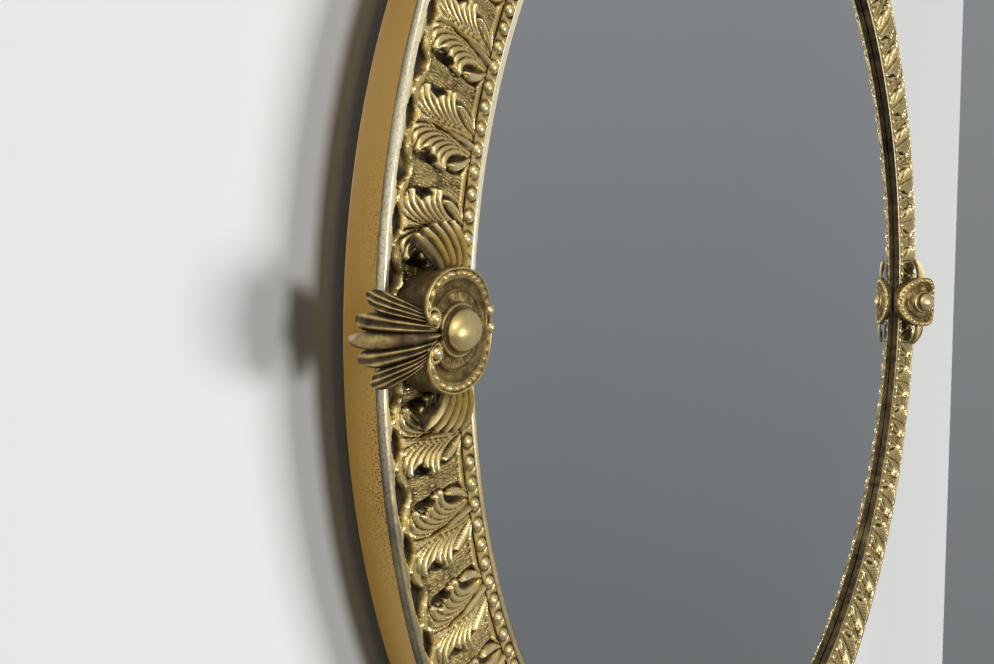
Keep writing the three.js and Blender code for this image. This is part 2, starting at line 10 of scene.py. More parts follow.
import bmesh
import bpy
import numpy as np
from mathutils import Matrix, Vector


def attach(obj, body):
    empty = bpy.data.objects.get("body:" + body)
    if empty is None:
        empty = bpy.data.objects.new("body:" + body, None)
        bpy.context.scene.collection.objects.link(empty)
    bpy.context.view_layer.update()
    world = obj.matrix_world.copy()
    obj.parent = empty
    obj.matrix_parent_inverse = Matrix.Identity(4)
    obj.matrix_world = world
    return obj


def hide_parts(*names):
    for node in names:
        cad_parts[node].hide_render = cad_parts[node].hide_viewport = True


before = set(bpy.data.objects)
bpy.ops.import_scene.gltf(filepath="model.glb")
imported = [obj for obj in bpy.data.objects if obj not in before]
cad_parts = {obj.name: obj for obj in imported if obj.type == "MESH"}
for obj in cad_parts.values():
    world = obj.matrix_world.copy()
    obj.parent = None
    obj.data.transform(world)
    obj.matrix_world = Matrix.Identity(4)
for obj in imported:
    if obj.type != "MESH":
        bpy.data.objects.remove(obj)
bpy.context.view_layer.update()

# ---------------------------------------------------------------- sizes, in millimetres

SIGHT_R = 213.7
RIM_R = 250.3
STANDOFF = 3.0
HOOP_DEPTH = 12.7
HOOP_R = 249.4
HOOP_BACK_R = 248.8
HEM_R = 244.8
OPENING_R = 235.8
SHELF_H = 2.5
SHEET = 1.6
CHANNEL_H = 13.5
BAND_BACK = 13.0
PEARL_R = 218.3
PEARL_D = 4.4
GLASS_R = 220.7
GLASS_T = 3.0
GLASS_EDGE_H = 10.9
DOME_R = 1151.7
SEAT = 0.3
SEAT_H = 18.0
REPEATS = 56
PEARLS = 224
QUARTERS = ("right", "top", "left", "bottom")
BAND_PLACES = ("upper_right", "upper_left", "lower_left", "lower_right")

# The border is drawn on a sheet ruled in units of DRAWN mm: x runs sideways from the middle
# of a panel to the stem of a leaf, y runs inwards from the rim.
DRAWN = 0.0534
DRAWN_RIM_R = 253.23
HALF_REPEAT = 244.0

# ---------------------------------------------------------------- meshes


def place(R, a, h):
    """Point at radius R, angle a and height h: x = R cos a, y = -(STANDOFF + h), z = R sin a."""
    R, a, h = np.broadcast_arrays(R, a, h)
    return np.stack([R * np.cos(a), -(STANDOFF + h), R * np.sin(a)], axis=-1) / 1000.0


def drawn_at(u, R, h, turn):
    """Point drawn at the top of the mirror, u to the side, then turned about Y by turn."""
    u, R, h = np.broadcast_arrays(u, R, h)
    c, s = math.cos(turn - math.pi / 2), math.sin(turn - math.pi / 2)
    return np.stack([u * c - R * s, -(STANDOFF + h), u * s + R * c], axis=-1) / 1000.0


def quads(rows, cols, wrap_rows, wrap_cols):
    """Corner numbers of the cells of a rows by cols grid, closed on itself where it wraps."""
    i = np.arange(rows if wrap_rows else rows - 1)[:, None]
    j = np.arange(cols if wrap_cols else cols - 1)[None, :]
    k, m = (i + 1) % rows, (j + 1) % cols
    corners = [i * cols + j, i * cols + m, k * cols + m, k * cols + j]
    return np.stack([np.broadcast_to(c, (len(i), j.shape[1])) for c in corners], -1).reshape(-1, 4)


def edge_loops(rows, cols):
    """Corner numbers along each edge of a rows by cols grid, in the order of a closing face."""
    number = np.arange(rows * cols).reshape(rows, cols)
    return {"first_row": number[0, ::-1], "last_row": number[-1],
            "first_col": number[:, 0], "last_col": number[::-1, -1]}


def piece(name, points, faces, values=None, sharp=40.0, weld=False):
    """A mesh object of points in metres, turned so that its volume is positive."""
    points = np.asarray(points, float).reshape(-1, 3)
    mesh = bpy.data.meshes.new(name)
    mesh.from_pydata(points.tolist(), [], faces)
    for key, value in (values or {}).items():
        layer = mesh.attributes.new(key, "FLOAT", "POINT")
        layer.data.foreach_set("value", np.asarray(value, np.float32).ravel())
    work = bmesh.new()
    work.from_mesh(mesh)
    if weld:
        bmesh.ops.remove_doubles(work, verts=work.verts, dist=2e-6)
    if work.calc_volume(signed=True) < 0:
        bmesh.ops.reverse_faces(work, faces=work.faces)
    work.to_mesh(mesh)
    work.free()
    mesh.shade_smooth()
    mesh.set_sharp_from_angle(angle=math.radians(sharp))
    obj = bpy.data.objects.new(name, mesh)
    bpy.context.scene.collection.objects.link(obj)
    return obj


def sheet_piece(name, grid, wrap_rows=False, wrap_cols=False, caps=(), **more):
    """A piece from a grid of points; caps lists edges closed by one flat face each."""
    rows, cols = grid.shape[:2]
    faces = quads(rows, cols, wrap_rows, wrap_cols).tolist()
    loops = edge_loops(rows, cols)
    faces += [loops[cap].tolist() for cap in caps]
    return piece(name, grid, faces, **more)


def rounded(profile, radius, steps=3):
    """A closed profile whose corners are cut by quadratic curves:
    p(t) = (1-t)^2 a + 2t(1-t) corner + t^2 b, with a and b up to radius away on either side."""
    p = np.asarray(profile, float)
    before, after = np.roll(p, 1, 0), np.roll(p, -1, 0)
    la = np.linalg.norm(before - p, axis=1, keepdims=True)
    lb = np.linalg.norm(after - p, axis=1, keepdims=True)
    a = p + (before - p) * np.minimum(radius / la, 0.45)
    b = p + (after - p) * np.minimum(radius / lb, 0.45)
    t = np.linspace(0, 1, steps + 1)[None, :, None]
    out = (1 - t) ** 2 * a[:, None] + 2 * t * (1 - t) * p[:, None] + t ** 2 * b[:, None]
    return out.reshape(-1, 2)


def turned(name, profile, segments=360, **more):
    """A profile of (R, h) points carried round the Y axis."""
    p = np.asarray(profile, float)
    a = np.linspace(0, 2 * math.pi, segments, endpoint=False)[None, :]
    grid = place(p[:, :1], a, p[:, 1:])
    return sheet_piece(name, grid, True, True, **more)


def curve(points, count):
    """Smooth curve through points: on each span
    p(t) = (2b + (c-a)t + (2a-5b+4c-d)t^2 + (3b-a-3c+d)t^3) / 2."""
    p = np.array([points[0], *points, points[-1]], float)
    spans = len(points) - 1
    s = np.linspace(0, spans, count)
    k = np.minimum(s.astype(int), spans - 1)
    t = (s - k)[:, None]
    a, b, c, d = p[k], p[k + 1], p[k + 2], p[k + 3]
    return 0.5 * (2 * b + (c - a) * t + (2 * a - 5 * b + 4 * c - d) * t ** 2
                  + (3 * b - a - 3 * c + d) * t ** 3)


def near_curve(x, y, points, count=40):
    """Distance from (x, y) to a smooth curve, how far along it lies, and its third value there."""
    c = curve(points, count)
    best = np.full(x.shape, 1e9)
    along = np.zeros(x.shape)
    width = np.zeros(x.shape)
    for k, (p, q) in enumerate(zip(c[:-1], c[1:])):
        run = q[:2] - p[:2]
        t = np.clip(((x - p[0]) * run[0] + (y - p[1]) * run[1]) / (run @ run + 1e-9), 0, 1)
        d = np.hypot(x - p[0] - t * run[0], y - p[1] - t * run[1])
        nearer = d < best
        best = np.where(nearer, d, best)
        along = np.where(nearer, (k + t) / (len(c) - 1), along)
        if len(p) > 2:
            width = np.where(nearer, p[2] + t * (q[2] - p[2]), width)
    return best, along, width


def ease(v, a, b):
    """Smooth step: 0 at a, 1 at b, t^2 (3 - 2t) between."""
    t = np.clip((v - a) / (b - a), 0, 1)
    return t * t * (3 - 2 * t)


def blurred(field, reach):
    """Mean over a square window of reach cells each way: the running sum at the window's far
    edge less the one at its near edge, over the window's width."""
    for axis in (0, 1):
        pad = [(reach + 1, reach) if k == axis else (0, 0) for k in (0, 1)]
        total = np.cumsum(np.pad(field, pad, mode="edge"), axis=axis)
        wide = 2 * reach + 1
        high = np.take(total, np.arange(wide, total.shape[axis]), axis=axis)
        low = np.take(total, np.arange(0, total.shape[axis] - wide), axis=axis)
        field = (high - low) / wide
    return field


def recess(height, cell):
    """How far each point lies below its surroundings, from 0 to 1: the blurred height less the
    height itself, at two scales in mm."""
    wide = blurred(blurred(height, max(int(2.2 / cell), 1)), max(int(1.2 / cell), 1)) - height
    fine = blurred(height, max(int(0.6 / cell), 1)) - height
    return np.clip(0.5 + 0.45 * wide + 0.9 * fine, 0, 1)


# ---------------------------------------------------------------- leaf border

# Veins of half a leaf, from the lowest flute's outer edge to the stem's edge.
VEINS = [
    [(52, 402), (95, 404), (140, 442), (170, 510), (186, 615)],
    [(44, 364), (100, 360), (155, 405), (186, 490), (196, 615)],
    [(50, 325), (115, 322), (168, 372), (200, 470), (204, 615)],
    [(92, 285), (140, 288), (184, 345), (210, 450), (210, 615)],
    [(78, 217), (125, 224), (185, 290), (217, 410), (214, 615)],
    [(92, 176), (150, 190), (198, 255), (224, 370), (218, 615)],
    [(148, 150), (182, 172), (212, 230), (231, 340), (222, 615)],
    [(196, 148), (216, 182), (234, 260), (236, 380), (226, 520), (222, 615)],
]
# The leaf's outer edge above its lowest vein, as heights y and the x at each.
LEAF_EDGE_Y = [140, 152, 165, 180, 197, 212, 225, 245, 265,
               285, 297, 310, 325, 345, 362, 385, 400, 404]
LEAF_EDGE_X = [165, 148, 104, 86, 76, 82, 100, 116, 122,
               108, 84, 66, 52, 46, 44, 42, 48, 52]
LEAF_FOOT_Y = 402
# The hollows under the rim: middle, half width, top, foot, and the foot's dip in the middle.
LONG_HOLLOW = (0, 143, 93, 140, 46)
SHORT_HOLLOW = (HALF_REPEAT, 84, 96, 162, 0)
# The egg and the curl inside the eye: a height, and points (x, y, half width) along each.
SWELLS = [(2.3, [(186, 618, 8), (156, 590, 17), (122, 545, 24), (98, 487, 25), (92, 447, 10)]),
          (2.0, [(182, 622, 6), (142, 606, 11), (104, 588, 12), (72, 568, 7)])]


def side_of(points, y):
    """x of a curve through points at the height y, read in straight lines between its places."""
    c = curve(points, 60)
    order = np.argsort(c[:, 1])
    return np.interp(y, c[order, 1], c[order, 0])


def flutes(x, y, cushion):
    """A leaf's flutes: between neighbouring veins the height is the sine of the share of the way
    from one to the other, with a finer line along the middle of a broad flute."""
    near = [near_curve(x, y, v) for v in VEINS]
    total = np.full(x.shape, 1e9)
    share = np.zeros(x.shape)
    along = np.zeros(x.shape)
    for low, high in zip(near[:-1], near[1:]):
        gap = low[0] + high[0]
        closer = gap < total
        total = np.where(closer, gap, total)
        share = np.where(closer, low[0] / (gap + 1e-9), share)
        along = np.where(closer, 0.5 * (low[1] + high[1]), along)
    edge = np.where(y > 404, 400, np.interp(y, LEAF_EDGE_Y, LEAF_EDGE_X))
    tip = np.where(y < LEAF_FOOT_Y, ease(x - edge, 0, 11), 1.0)
    flute = np.sin(np.pi * np.clip(share, 0, 1)) ** 0.55
    rise = flute * (1.15 + 0.75 * (1 - along) ** 2) * (0.55 + 0.45 * np.clip(total / 22, 0, 1))
    line = 0.14 * np.exp(-((share - 0.5) / 0.09) ** 2) * ease(total, 14, 30)
    return cushion - 0.55 + (rise - line) * tip ** 0.6, edge


def uneven_ground(x, y):
    """The panel's ground between the leaves, gently uneven: a sum of crossed sines."""
    return -0.42 + 0.07 * np.sin(x / 6.3) * np.sin(y / 9.1) + 0.05 * np.sin((x + y) / 13.0)


def hollow(x, y, centre, half, up, down, dip):
    """A scooped hollow under the rim: its depth is the sine of the way between its upper edge
    and its lower one, which dips by dip in the middle. Also the ridge along its lower edge."""
    u = (x - centre) / half
    top = up + 22 * u ** 2
    foot = top + (down - top) * (1 - np.abs(u) ** 2.6)
    foot = foot + dip * np.exp(-np.abs((x - centre) / 52.0) ** 2.6)
    v = np.clip((y - top) / np.maximum(foot - top, 3), 0, 1)
    inside = (np.abs(u) < 1) & (y > top) & (y < foot)
    depth = inside * np.sin(np.pi * v ** 0.8) ** 0.75 * np.clip(1 - np.abs(u) ** 5, 0, 1) ** 0.5
    lip = (np.abs(u) < 1.02) * np.exp(-((y - foot - 4) / 5.0) ** 2)
    return depth, lip


def eye(x, y, cushion, vein_x):
    """The deep eye below a leaf: a bowl between the panel and the lowest vein, a smooth egg
    that swells inside it, and a curl that springs from the leaf's foot."""
    down = np.clip((y - 398) / 190, 0, 1)
    inner = np.interp(y, [398, 420, 480, 560, 600], [60, 52, 48, 60, 110])
    across = np.clip((x - inner) / np.maximum(vein_x - inner, 4), 0, 1)
    inside = (y > 400) & (x > inner) & (x < vein_x)
    bowl = np.sin(np.pi * across ** 1.15) ** 0.7 * np.sin(np.pi * down ** 0.75) ** 0.5
    swell = np.zeros(x.shape)
    for height, points in SWELLS:
        d, _, w = near_curve(x, y, points)
        swell = np.maximum(swell, height * np.clip(1 - (d / np.maximum(w, 0.5)) ** 2, 0, 1) ** 0.5)
    return inside, cushion - 0.3 - 2.5 * bowl, cushion - 1.7 + swell


def border_relief(x, y):
    """Height of the border in mm over its ground, for x from panel (0) to stem (244), how far
    each point belongs to the scaled panel, and how much painted shade it gets in the hollows
    under the rim and in the shadowed notch by the panel."""
    x = np.abs(x)
    down = (y - 60) / 552.0
    cushion = 0.5 + 1.9 * np.sin(np.pi * np.clip(down, 0, 1) ** 0.9) ** 0.8
    leaf, edge = flutes(x, y, cushion)
    vein_x = side_of(VEINS[0], y)
    stem_x = side_of(VEINS[-1], y)
    in_leaf = np.where(y < LEAF_FOOT_Y, x > edge, x > vein_x) & (x < stem_x) & (y > 146)
    across = np.clip((HALF_REPEAT - x) / np.maximum(HALF_REPEAT - stem_x, 3), 0, 1)
    stem = cushion - 0.75 + 2.1 * (1 - across ** 1.8) ** 0.7
    h = cushion + uneven_ground(x, y) * ease(y, 170, 186) * (1 - ease(y, 560, 580))
    panel = ease(y, 176, 190) * (1 - ease(y, 556, 572)) + 0 * x
    # The shadowed notch at the panel's edge: cut deeper, and given painted shade.
    shade = np.exp(-np.abs((x - 80) / 24) ** 3 - np.abs((y - 278) / 62) ** 3)
    h = h - 1.5 * shade
    panel = panel * (1 - 0.85 * shade)
    in_eye, bowl, lobes = eye(x, y, cushion, vein_x)
    h = np.where(in_eye, bowl, h)
    h = np.where(in_eye | (y > 560), np.maximum(h, lobes), h)
    h = np.where(in_leaf, leaf, h)
    in_stem = (x >= stem_x) & (y > 148)
    h = np.where(in_stem, stem, h)
    panel = np.where(in_eye | in_leaf | in_stem, 0, panel)
    long_hollow, long_lip = hollow(x, y, *LONG_HOLLOW)
    short_hollow, short_lip = hollow(x, y, *SHORT_HOLLOW)
    dip = np.exp(-np.abs(x / 60.0) ** 2.6)
    land = np.clip(ease(y, 172, 146) * (1 - dip) + ease(y, 196, 180) * dip, 0, 1)
    h = h * (1 - land) + 2.0 * land
    h = h + 0.45 * np.maximum(long_lip, short_lip) - 2.9 * np.maximum(long_hollow, short_hollow)
    rim = 2.0 + 0.12 * np.sin(np.pi * np.clip((y - 62) / 30, 0, 1))
    # dark is painted shade for the hollows under the rim and for the shadowed notch.
    dark = np.maximum(np.maximum(long_hollow, short_hollow), 0.8 * shade)
    return np.where(y < 92, rim, h), panel * (1 - land), dark


BAND_GROUND = 13.3
BAND_STEP_R = 235
BAND_ROWS = 84
COLUMNS = 66  # grid columns in each repeat
LIP_PROFILE = [(216.35, 13.5), (216.3, 14.05), (216.05, 14.4), (215.3, 14.5), (214.5, 14.46),
               (213.95, 14.25), (213.75, 13.95), (213.7, 13.5)]
LIP_TOP = (214.2, 216.2)


def band_rows():
    """Radii of the carved rows, from the rim inwards, closer together on the rim."""
    rim = RIM_R - np.array([0, 0.12, 0.35, 0.7, 1.1, 1.6])
    face = np.linspace(RIM_R - 2.0, PEARL_R + PEARL_D / 2 + 0.45, BAND_ROWS)
    return np.concatenate([rim, face])


def band_back():
    """(R, h) points of the channel and the lip, and then outwards along the stepped back."""
    channel = [(PEARL_R + PEARL_D / 2 + 0.3, CHANNEL_H), (216.5, CHANNEL_H)]
    on_glass = GLASS_EDGE_H + SEAT
    back = [(SIGHT_R, on_glass), (SIGHT_R + 1.3, on_glass), (SIGHT_R + 1.5, 12.3),
            (OPENING_R - 1, 12.3), (OPENING_R - 0.6, BAND_BACK), (RIM_R, BAND_BACK)]
    return np.array(channel + LIP_PROFILE + back)


def drawn_border(x, y):
    """The relief at every (x, y), read in straight lines between the columns of a half repeat."""
    wide = 4 * (COLUMNS // 2 + 1)
    cell_x = np.broadcast_to(np.linspace(0, HALF_REPEAT, wide), (len(y), wide))
    drawn = border_relief(cell_x, np.broadcast_to(y, (len(y), wide)))
    spot = np.abs(x) / HALF_REPEAT * (wide - 1)
    left = np.minimum(spot.astype(int), wide - 2)
    mix = spot - left
    return [d[:, left] * (1 - mix) + d[:, left + 1] * mix for d in drawn]


def carved_height(R, angle, relief):
    """Height of the carved face: ground and relief, less the rim's rounding
    0.7 (1 - sqrt(1 - 0.98 v^2)) over its last 0.8 mm, with slow waves in radius and angle."""
    v = np.clip((R - (RIM_R - 0.8)) / 0.8, 0, 1)
    carved = BAND_GROUND + relief - 0.7 * (1 - np.sqrt(1 - v ** 2 * 0.98))
    waves = 0.05 * np.sin(23.7 * angle + 0.11 * R) + 0.04 * np.sin(61.3 * angle - 0.37 * R)
    lowest = np.where(R < BAND_STEP_R, 12.6, 13.15)
    return np.maximum(carved + waves * ease(R, 222, 226), lowest)


def band_quarter(k):
    """A quarter of the border, from one cartouche's stem to the next: the carved face is a
    height over (radius, angle), and the back steps down from the flange to the glass."""
    count = REPEATS // 4
    gap = SEAT / 2 / SIGHT_R
    t = np.linspace(0, 1, count * COLUMNS + 1)
    phase = 0.5 + count * t
    angle = k * math.pi / 2 + gap + (math.pi / 2 - 2 * gap) * t
    R = band_rows()[:, None]
    x = ((phase + 0.5) % 1 - 0.5) * 2 * HALF_REPEAT
    y = (DRAWN_RIM_R - R) / DRAWN
    relief, panel, dark = drawn_border(x, y)
    carved = carved_height(R, angle, relief)
    cell = float((math.pi * R / 2 / (count * COLUMNS)).mean())
    # The carved face's cavity darkens the brass: patina in its hollows, and painted shade there as
    # well.
    low = np.clip(recess(carved, cell) - 0.3 * panel, 0, 1)
    # The hollows under the rim and the notch by the panel get near-black painted shade.
    low = np.maximum(low, 0.98 * ease(dark, 0.1, 0.75))
    rest = band_back()
    rest_R, rest_h = rest[:, :1], rest[:, 1:]
    grid = np.concatenate([place(R, angle, carved), place(rest_R, angle, rest_h)])
    on_lip = (rest_R > LIP_TOP[0]) & (rest_R < LIP_TOP[1])
    none = np.zeros((len(rest), len(t)))
    # The back and the channel are painted dark as shade. The lip's top is painted pale: rubbed
    # brass and painted highlight.
    values = {"recess": np.concatenate([low, np.where(on_lip, 0.10, 0.88) + none]),
              "polish": np.concatenate([ease(R, 247.8, 248.6) + 0 * carved, on_lip + none]),
              "panel": np.concatenate([panel, none]),
              "across": np.concatenate([x * DRAWN + 0 * carved, none]),
              "inward": np.concatenate([y * DRAWN + 0 * carved, none])}
    return sheet_piece(f"leaf_border_{BAND_PLACES[k]}", grid, wrap_rows=True,
                       caps=("first_col", "last_col"), values=values, sharp=70)


# ---------------------------------------------------------------- pearls, hoop, glass, back


PEARL_COLUMNS = 14  # grid columns for each bead
PEARL_ROWS = 17
UNDER_STEP = 8
BEAD_R = 1.88
BEAD_RISE = 1.5


def pearls():
    """The bead strip in its channel: over (R, angle) the height is a dome, the floor plus
    rise sqrt(1 - (d/r)^2) within r of a bead's middle, and beyond its socket a low bridge."""
    floor = CHANNEL_H + SEAT + 0.12
    R = np.linspace(216.6, PEARL_R + PEARL_D / 2 + 0.12, PEARL_ROWS)[:, None]
    a = np.linspace(0, 2 * math.pi, PEARLS * PEARL_COLUMNS, endpoint=False)[None, :]
    share = (np.arange(a.size) % PEARL_COLUMNS)[None, :] / PEARL_COLUMNS
    along = np.minimum(share, 1 - share) * 2 * math.pi * PEARL_R / PEARLS
    d = np.hypot(R - (PEARL_R + 0.2), along)
    dome = BEAD_RISE * np.sqrt(np.clip(1 - (d / BEAD_R) ** 2, 0, 1))
    bridge = 0.62 * ease(d, 2.05, 2.6)
    top = place(R, a, floor + np.maximum(dome, bridge))
    under = place(R[::-UNDER_STEP], a, CHANNEL_H + SEAT)
    # Bead tops and bridges are painted pale and the gaps between them dark: painted shade, partly
    # patina.
    low = np.clip(0.92 - 0.62 * dome - 0.75 * bridge, 0.12, 1)
    # The strip's underside is painted dark as shade.
    low = np.concatenate([low, np.full(under.shape[:2], 0.9)])
    return sheet_piece("pearls", np.concatenate([top, under]), True, True, sharp=80,
                       values={"recess": low})


def hoop():
    """The hoop's rolled Z section, its corners eased, carried round."""
    section = [
        (HOOP_BACK_R, 0.0), (HOOP_R, HOOP_DEPTH),
        (OPENING_R, HOOP_DEPTH), (OPENING_R, HOOP_DEPTH - 1.3),
        (HOOP_R - SHEET, HOOP_DEPTH - 1.3), (HOOP_R - SHEET - 0.3, SHELF_H + SHEET),
        (OPENING_R, SHELF_H + SHEET), (OPENING_R, SHELF_H), (HEM_R, SHELF_H), (HEM_R, 0.0)]
    return turned("hoop_wall", rounded(section, 0.45), 720, sharp=50)


def glass_front(R):
    """Height of the glass: a sphere's cap, h = edge + sqrt(D^2 - R^2) - sqrt(D^2 - sight^2)."""
    return GLASS_EDGE_H + np.sqrt(DOME_R ** 2 - R ** 2) - math.sqrt(DOME_R ** 2 - SIGHT_R ** 2)


def glass():
    """The bulging glass: its face, a sphere's cap, and its silvered back, the same cap GLASS_T
    behind, carried round as one profile."""
    R = np.linspace(0, GLASS_R, 48)
    face = np.stack([R, glass_front(R)], 1)
    back = np.stack([R[::-1], glass_front(R[::-1]) - GLASS_T], 1)
    profile = np.concatenate([face, back])
    a = np.linspace(0, 2 * math.pi, 360, endpoint=False)[None, :]
    grid = place(profile[:, :1], a, profile[:, 1:])
    return sheet_piece("bulging_glass", grid, False, True, weld=True, sharp=50)


# ---------------------------------------------------------------- cartouches

DISC_LOW_R = 207.6
DISC_TOP_R = 247.3
DISC_HALF_W = 15.8
DISC_WIDE_R = 233.2
BOSS_R = 232.2
COLLAR = (6.3, 9.3)
STUD_AT = 232.2
SETTLED = [(-0.01, 0.0), (0.012, 0.0), (0.078, 1.0), (-0.008, 0.0)]  # twist, slip to the side
GADROONS = 17  # on each scroll
VOLUTE_BALL = ((4.1, 243.6, 26.7), (1.6, 1.9, 1.6))  # middle (u, R, h) and radii
FOOT_BALL = ((2.35, 209.4, 16.0), (1.5, 1.7, 1.5))
TOP_SIDE = [(DISC_HALF_W, DISC_WIDE_R), (15.4, 238.0), (13.6, 243.0), (10.2, 246.3), (6.6, 247.3),
            (3.6, 246.6), (1.9, 244.4), (1.2, 241.8), (0.0, 240.2)]


def face_h(R):
    """Height of a cartouche's face: it rises from the glass towards the rim,
    h = SEAT_H + 9.2 - 12.2 ((top - R) / (top - low))^1.8."""
    back = np.clip((DISC_TOP_R - R) / (DISC_TOP_R - DISC_LOW_R), 0, 1)
    return SEAT_H + 9.2 - 12.2 * back ** 1.8


def seat_h(R):
    """Height of what lies under a cartouche, with the seat's clearance."""
    steps_R = [200, 213.3, 213.5, 215.4, 216.2, 221.0, 221.4, 260]
    steps_h = [13.1, 12.2, 14.9, 14.9, 17.1, 17.1, 18.05, 18.05]
    return np.interp(R, steps_R, steps_h)


def disc_outline(per_half):
    """Outline of the disc and the share along each scroll: an ellipse below, and above it a
    curve over the scroll's shoulder down into the notch."""
    t = np.linspace(-math.pi / 2, 0, 60)
    down = DISC_WIDE_R - DISC_LOW_R
    low = np.stack([DISC_HALF_W * np.cos(t), DISC_WIDE_R + down * np.sin(t)], 1)
    half = np.concatenate([low, curve(TOP_SIDE, 80)[1:]])
    run = np.concatenate([[0], np.cumsum(np.hypot(*np.diff(half, axis=0).T))])
    share = np.linspace(0, 1, per_half + 1)
    right = np.stack([np.interp(share * run[-1], run, half[:, k]) for k in (0, 1)], 1)
    left = right[-2:0:-1] * (-1, 1)
    return np.concatenate([right, left]), np.concatenate([share, share[-2:0:-1]])


def ring_of(s, at, width):
    """A thin round ridge at s = at."""
    return np.sqrt(np.clip(1 - ((s - at) / width) ** 2, 0, 1))


def scroll_relief(s, share):
    """Relief between the outline (s = 0) and the collar (s = 1): an outer thread, a row of
    gadroons, a thread, a cavetto, a thread, short flutes and the collar's thread."""
    bead = np.abs(np.sin(np.pi * GADROONS * share * 0.985)) ** 0.6
    end = ease(share, 0.0, 0.05) * ease(share, 1.0, 0.93)
    row = np.sqrt(np.clip(1 - ((s - 0.16) / 0.09) ** 2, 0, 1)) * (0.05 + 1.2 * bead * end)
    flute = np.abs(np.sin(np.pi * 27 * share)) ** 0.7
    comb = ease(s, 0.62, 0.68) * ease(s, 0.96, 0.9) * (0.55 * flute - 0.75)
    cavetto = -0.85 * np.sin(np.pi * np.clip((s - 0.31) / 0.26, 0, 1))
    h = 0.7 * ring_of(s, 0.03, 0.032) + row - 0.5 * ease(s, 0.04, 0.075)
    h = h + 0.55 * ring_of(s, 0.275, 0.035) + cavetto + 0.65 * ring_of(s, 0.60, 0.04) + comb
    return h + 1.25 * ring_of(s, 0.99, 0.075) - 0.35 * ease(s, 0.25, 0.5)


def boss_rings(centre, unit):
    """The boss on its collar as rings of (u, R, h): over the share rho of the collar it is a
    dome, 0.3 + 4.6 sqrt(1 - (rho / 0.855)^2), on the sloping face."""
    crown_rho = np.cos(np.linspace(0, math.pi / 2, 14)) * 0.85
    rho = np.concatenate([np.linspace(0.985, 0.9, 3), crown_rho])
    rho = np.maximum(rho, 0.004)[:, None]
    crown = 0.3 + 4.6 * np.sqrt(np.clip(1 - (rho / 0.855) ** 2, 0, 1))
    q = centre + unit[None] * np.array(COLLAR) * rho[..., None]
    h = face_h(BOSS_R) + 0.2 * (q[..., 1] - BOSS_R) + crown
    # The dome is painted pale as a highlight, and the ring round its foot dark as shade.
    low = np.broadcast_to(np.where(rho > 0.83, 0.85, 0.30), h.shape)
    return np.concatenate([q, h[..., None]], 2), low


def disc_shell():
    """The disc as rings of (u, R, h): an under skin on the seat, a flank from there up to the
    sloping face, the scrolls' relief on that face from outline to collar, and the boss."""
    outline, share = disc_outline(GADROONS * 10)
    centre = np.array([0.0, BOSS_R])
    away = outline - centre
    angle = np.arctan2(away[:, 1] / COLLAR[1], away[:, 0] / COLLAR[0])
    unit = np.stack([np.cos(angle), np.sin(angle)], 1)
    rings, low = [], []
    # The under skin on the seat is painted dark as shade.
    for s in np.linspace(0.02, 1, 22):
        q = centre + away * s * 0.985
        rings.append(np.column_stack([q, seat_h(q[:, 1])]))
        low.append(0 * share + 0.9)
    edge = face_h(outline[:, 1]) - 0.5
    # The flank is painted dark, darkest at its foot: patina and painted shade.
    for s in np.linspace(0.08, 1, 6):
        q = centre + away * (0.985 + 0.015 * s)
        rings.append(np.column_stack([q, seat_h(q[:, 1]) * (1 - s) + edge * s]))
        low.append(0 * share + 0.94 - 0.16 * s)
    s = np.linspace(0.004, 1, 60)[:, None]
    q = outline[None] + (centre + unit * COLLAR - outline)[None] * s[..., None]
    lift = scroll_relief(s, share[None])
    h = face_h(q[..., 1]) + lift
    boss, boss_low = boss_rings(centre, unit)
    rings += [*np.concatenate([q, h[..., None]], 2), *boss]
    # The raised relief is painted pale and the sunken parts darker: rubbed brass and painted
    # highlight, patina and painted shade.
    low += [*np.clip(0.64 - 0.42 * lift, 0.12, 0.74), *boss_low]
    return np.array(rings), np.array(low)


def ball_shell(centre, radii):
    """An ellipsoid on a grid of turns and tilts: (a cos tilt cos turn, b cos tilt sin turn,
    c sin tilt) for the radii a, b and c."""
    turn = np.linspace(0, 2 * math.pi, 20, endpoint=False)[None, :]
    tilt = np.linspace(-math.pi / 2 + 0.02, math.pi / 2 - 0.02, 13)[:, None]
    flat = np.cos(tilt)
    p = np.stack([radii[0] * flat * np.cos(turn), radii[1] * flat * np.sin(turn),
                  radii[2] * np.sin(tilt) + 0 * turn], -1)
    # The front is painted pale as a highlight and the back dark as shade.
    return p + centre, np.clip(0.7 - 0.6 * np.sin(tilt), 0.1, 1) + 0 * turn


def two_skins(front, back, low):
    """A closed leaf from a front and a back grid, whose rows run down one and up the other,
    and how dark each point is painted: the back skin gets painted shade."""
    grid = np.concatenate([front, back[::-1]])
    return grid, np.concatenate([low, 0 * low + 0.8])


# The palmette's lobes: the shares where they part, how far each reaches along the spine, and
# how much shorter each gets towards its outer and its inner edge.
LOBES = np.array([-1.0, -0.5, -0.18, 0.18, 0.5, 1.0])
LOBE_REACH = np.array([0.86, 0.93, 1.0, 0.93, 0.86])
OUTER_DROP = np.array([0.40, 0.20, 0.16, 0.20, 0.40])
INNER_DROP = np.array([0.10, 0.06, 0.16, 0.06, 0.10])
BUD = 0.18
SPINE = [(240.6, 24.6), (244.4, 26.6), (250.0, 26.3), (254.3, 23.1), (256.3, 18.6), (257.0, 11.3)]


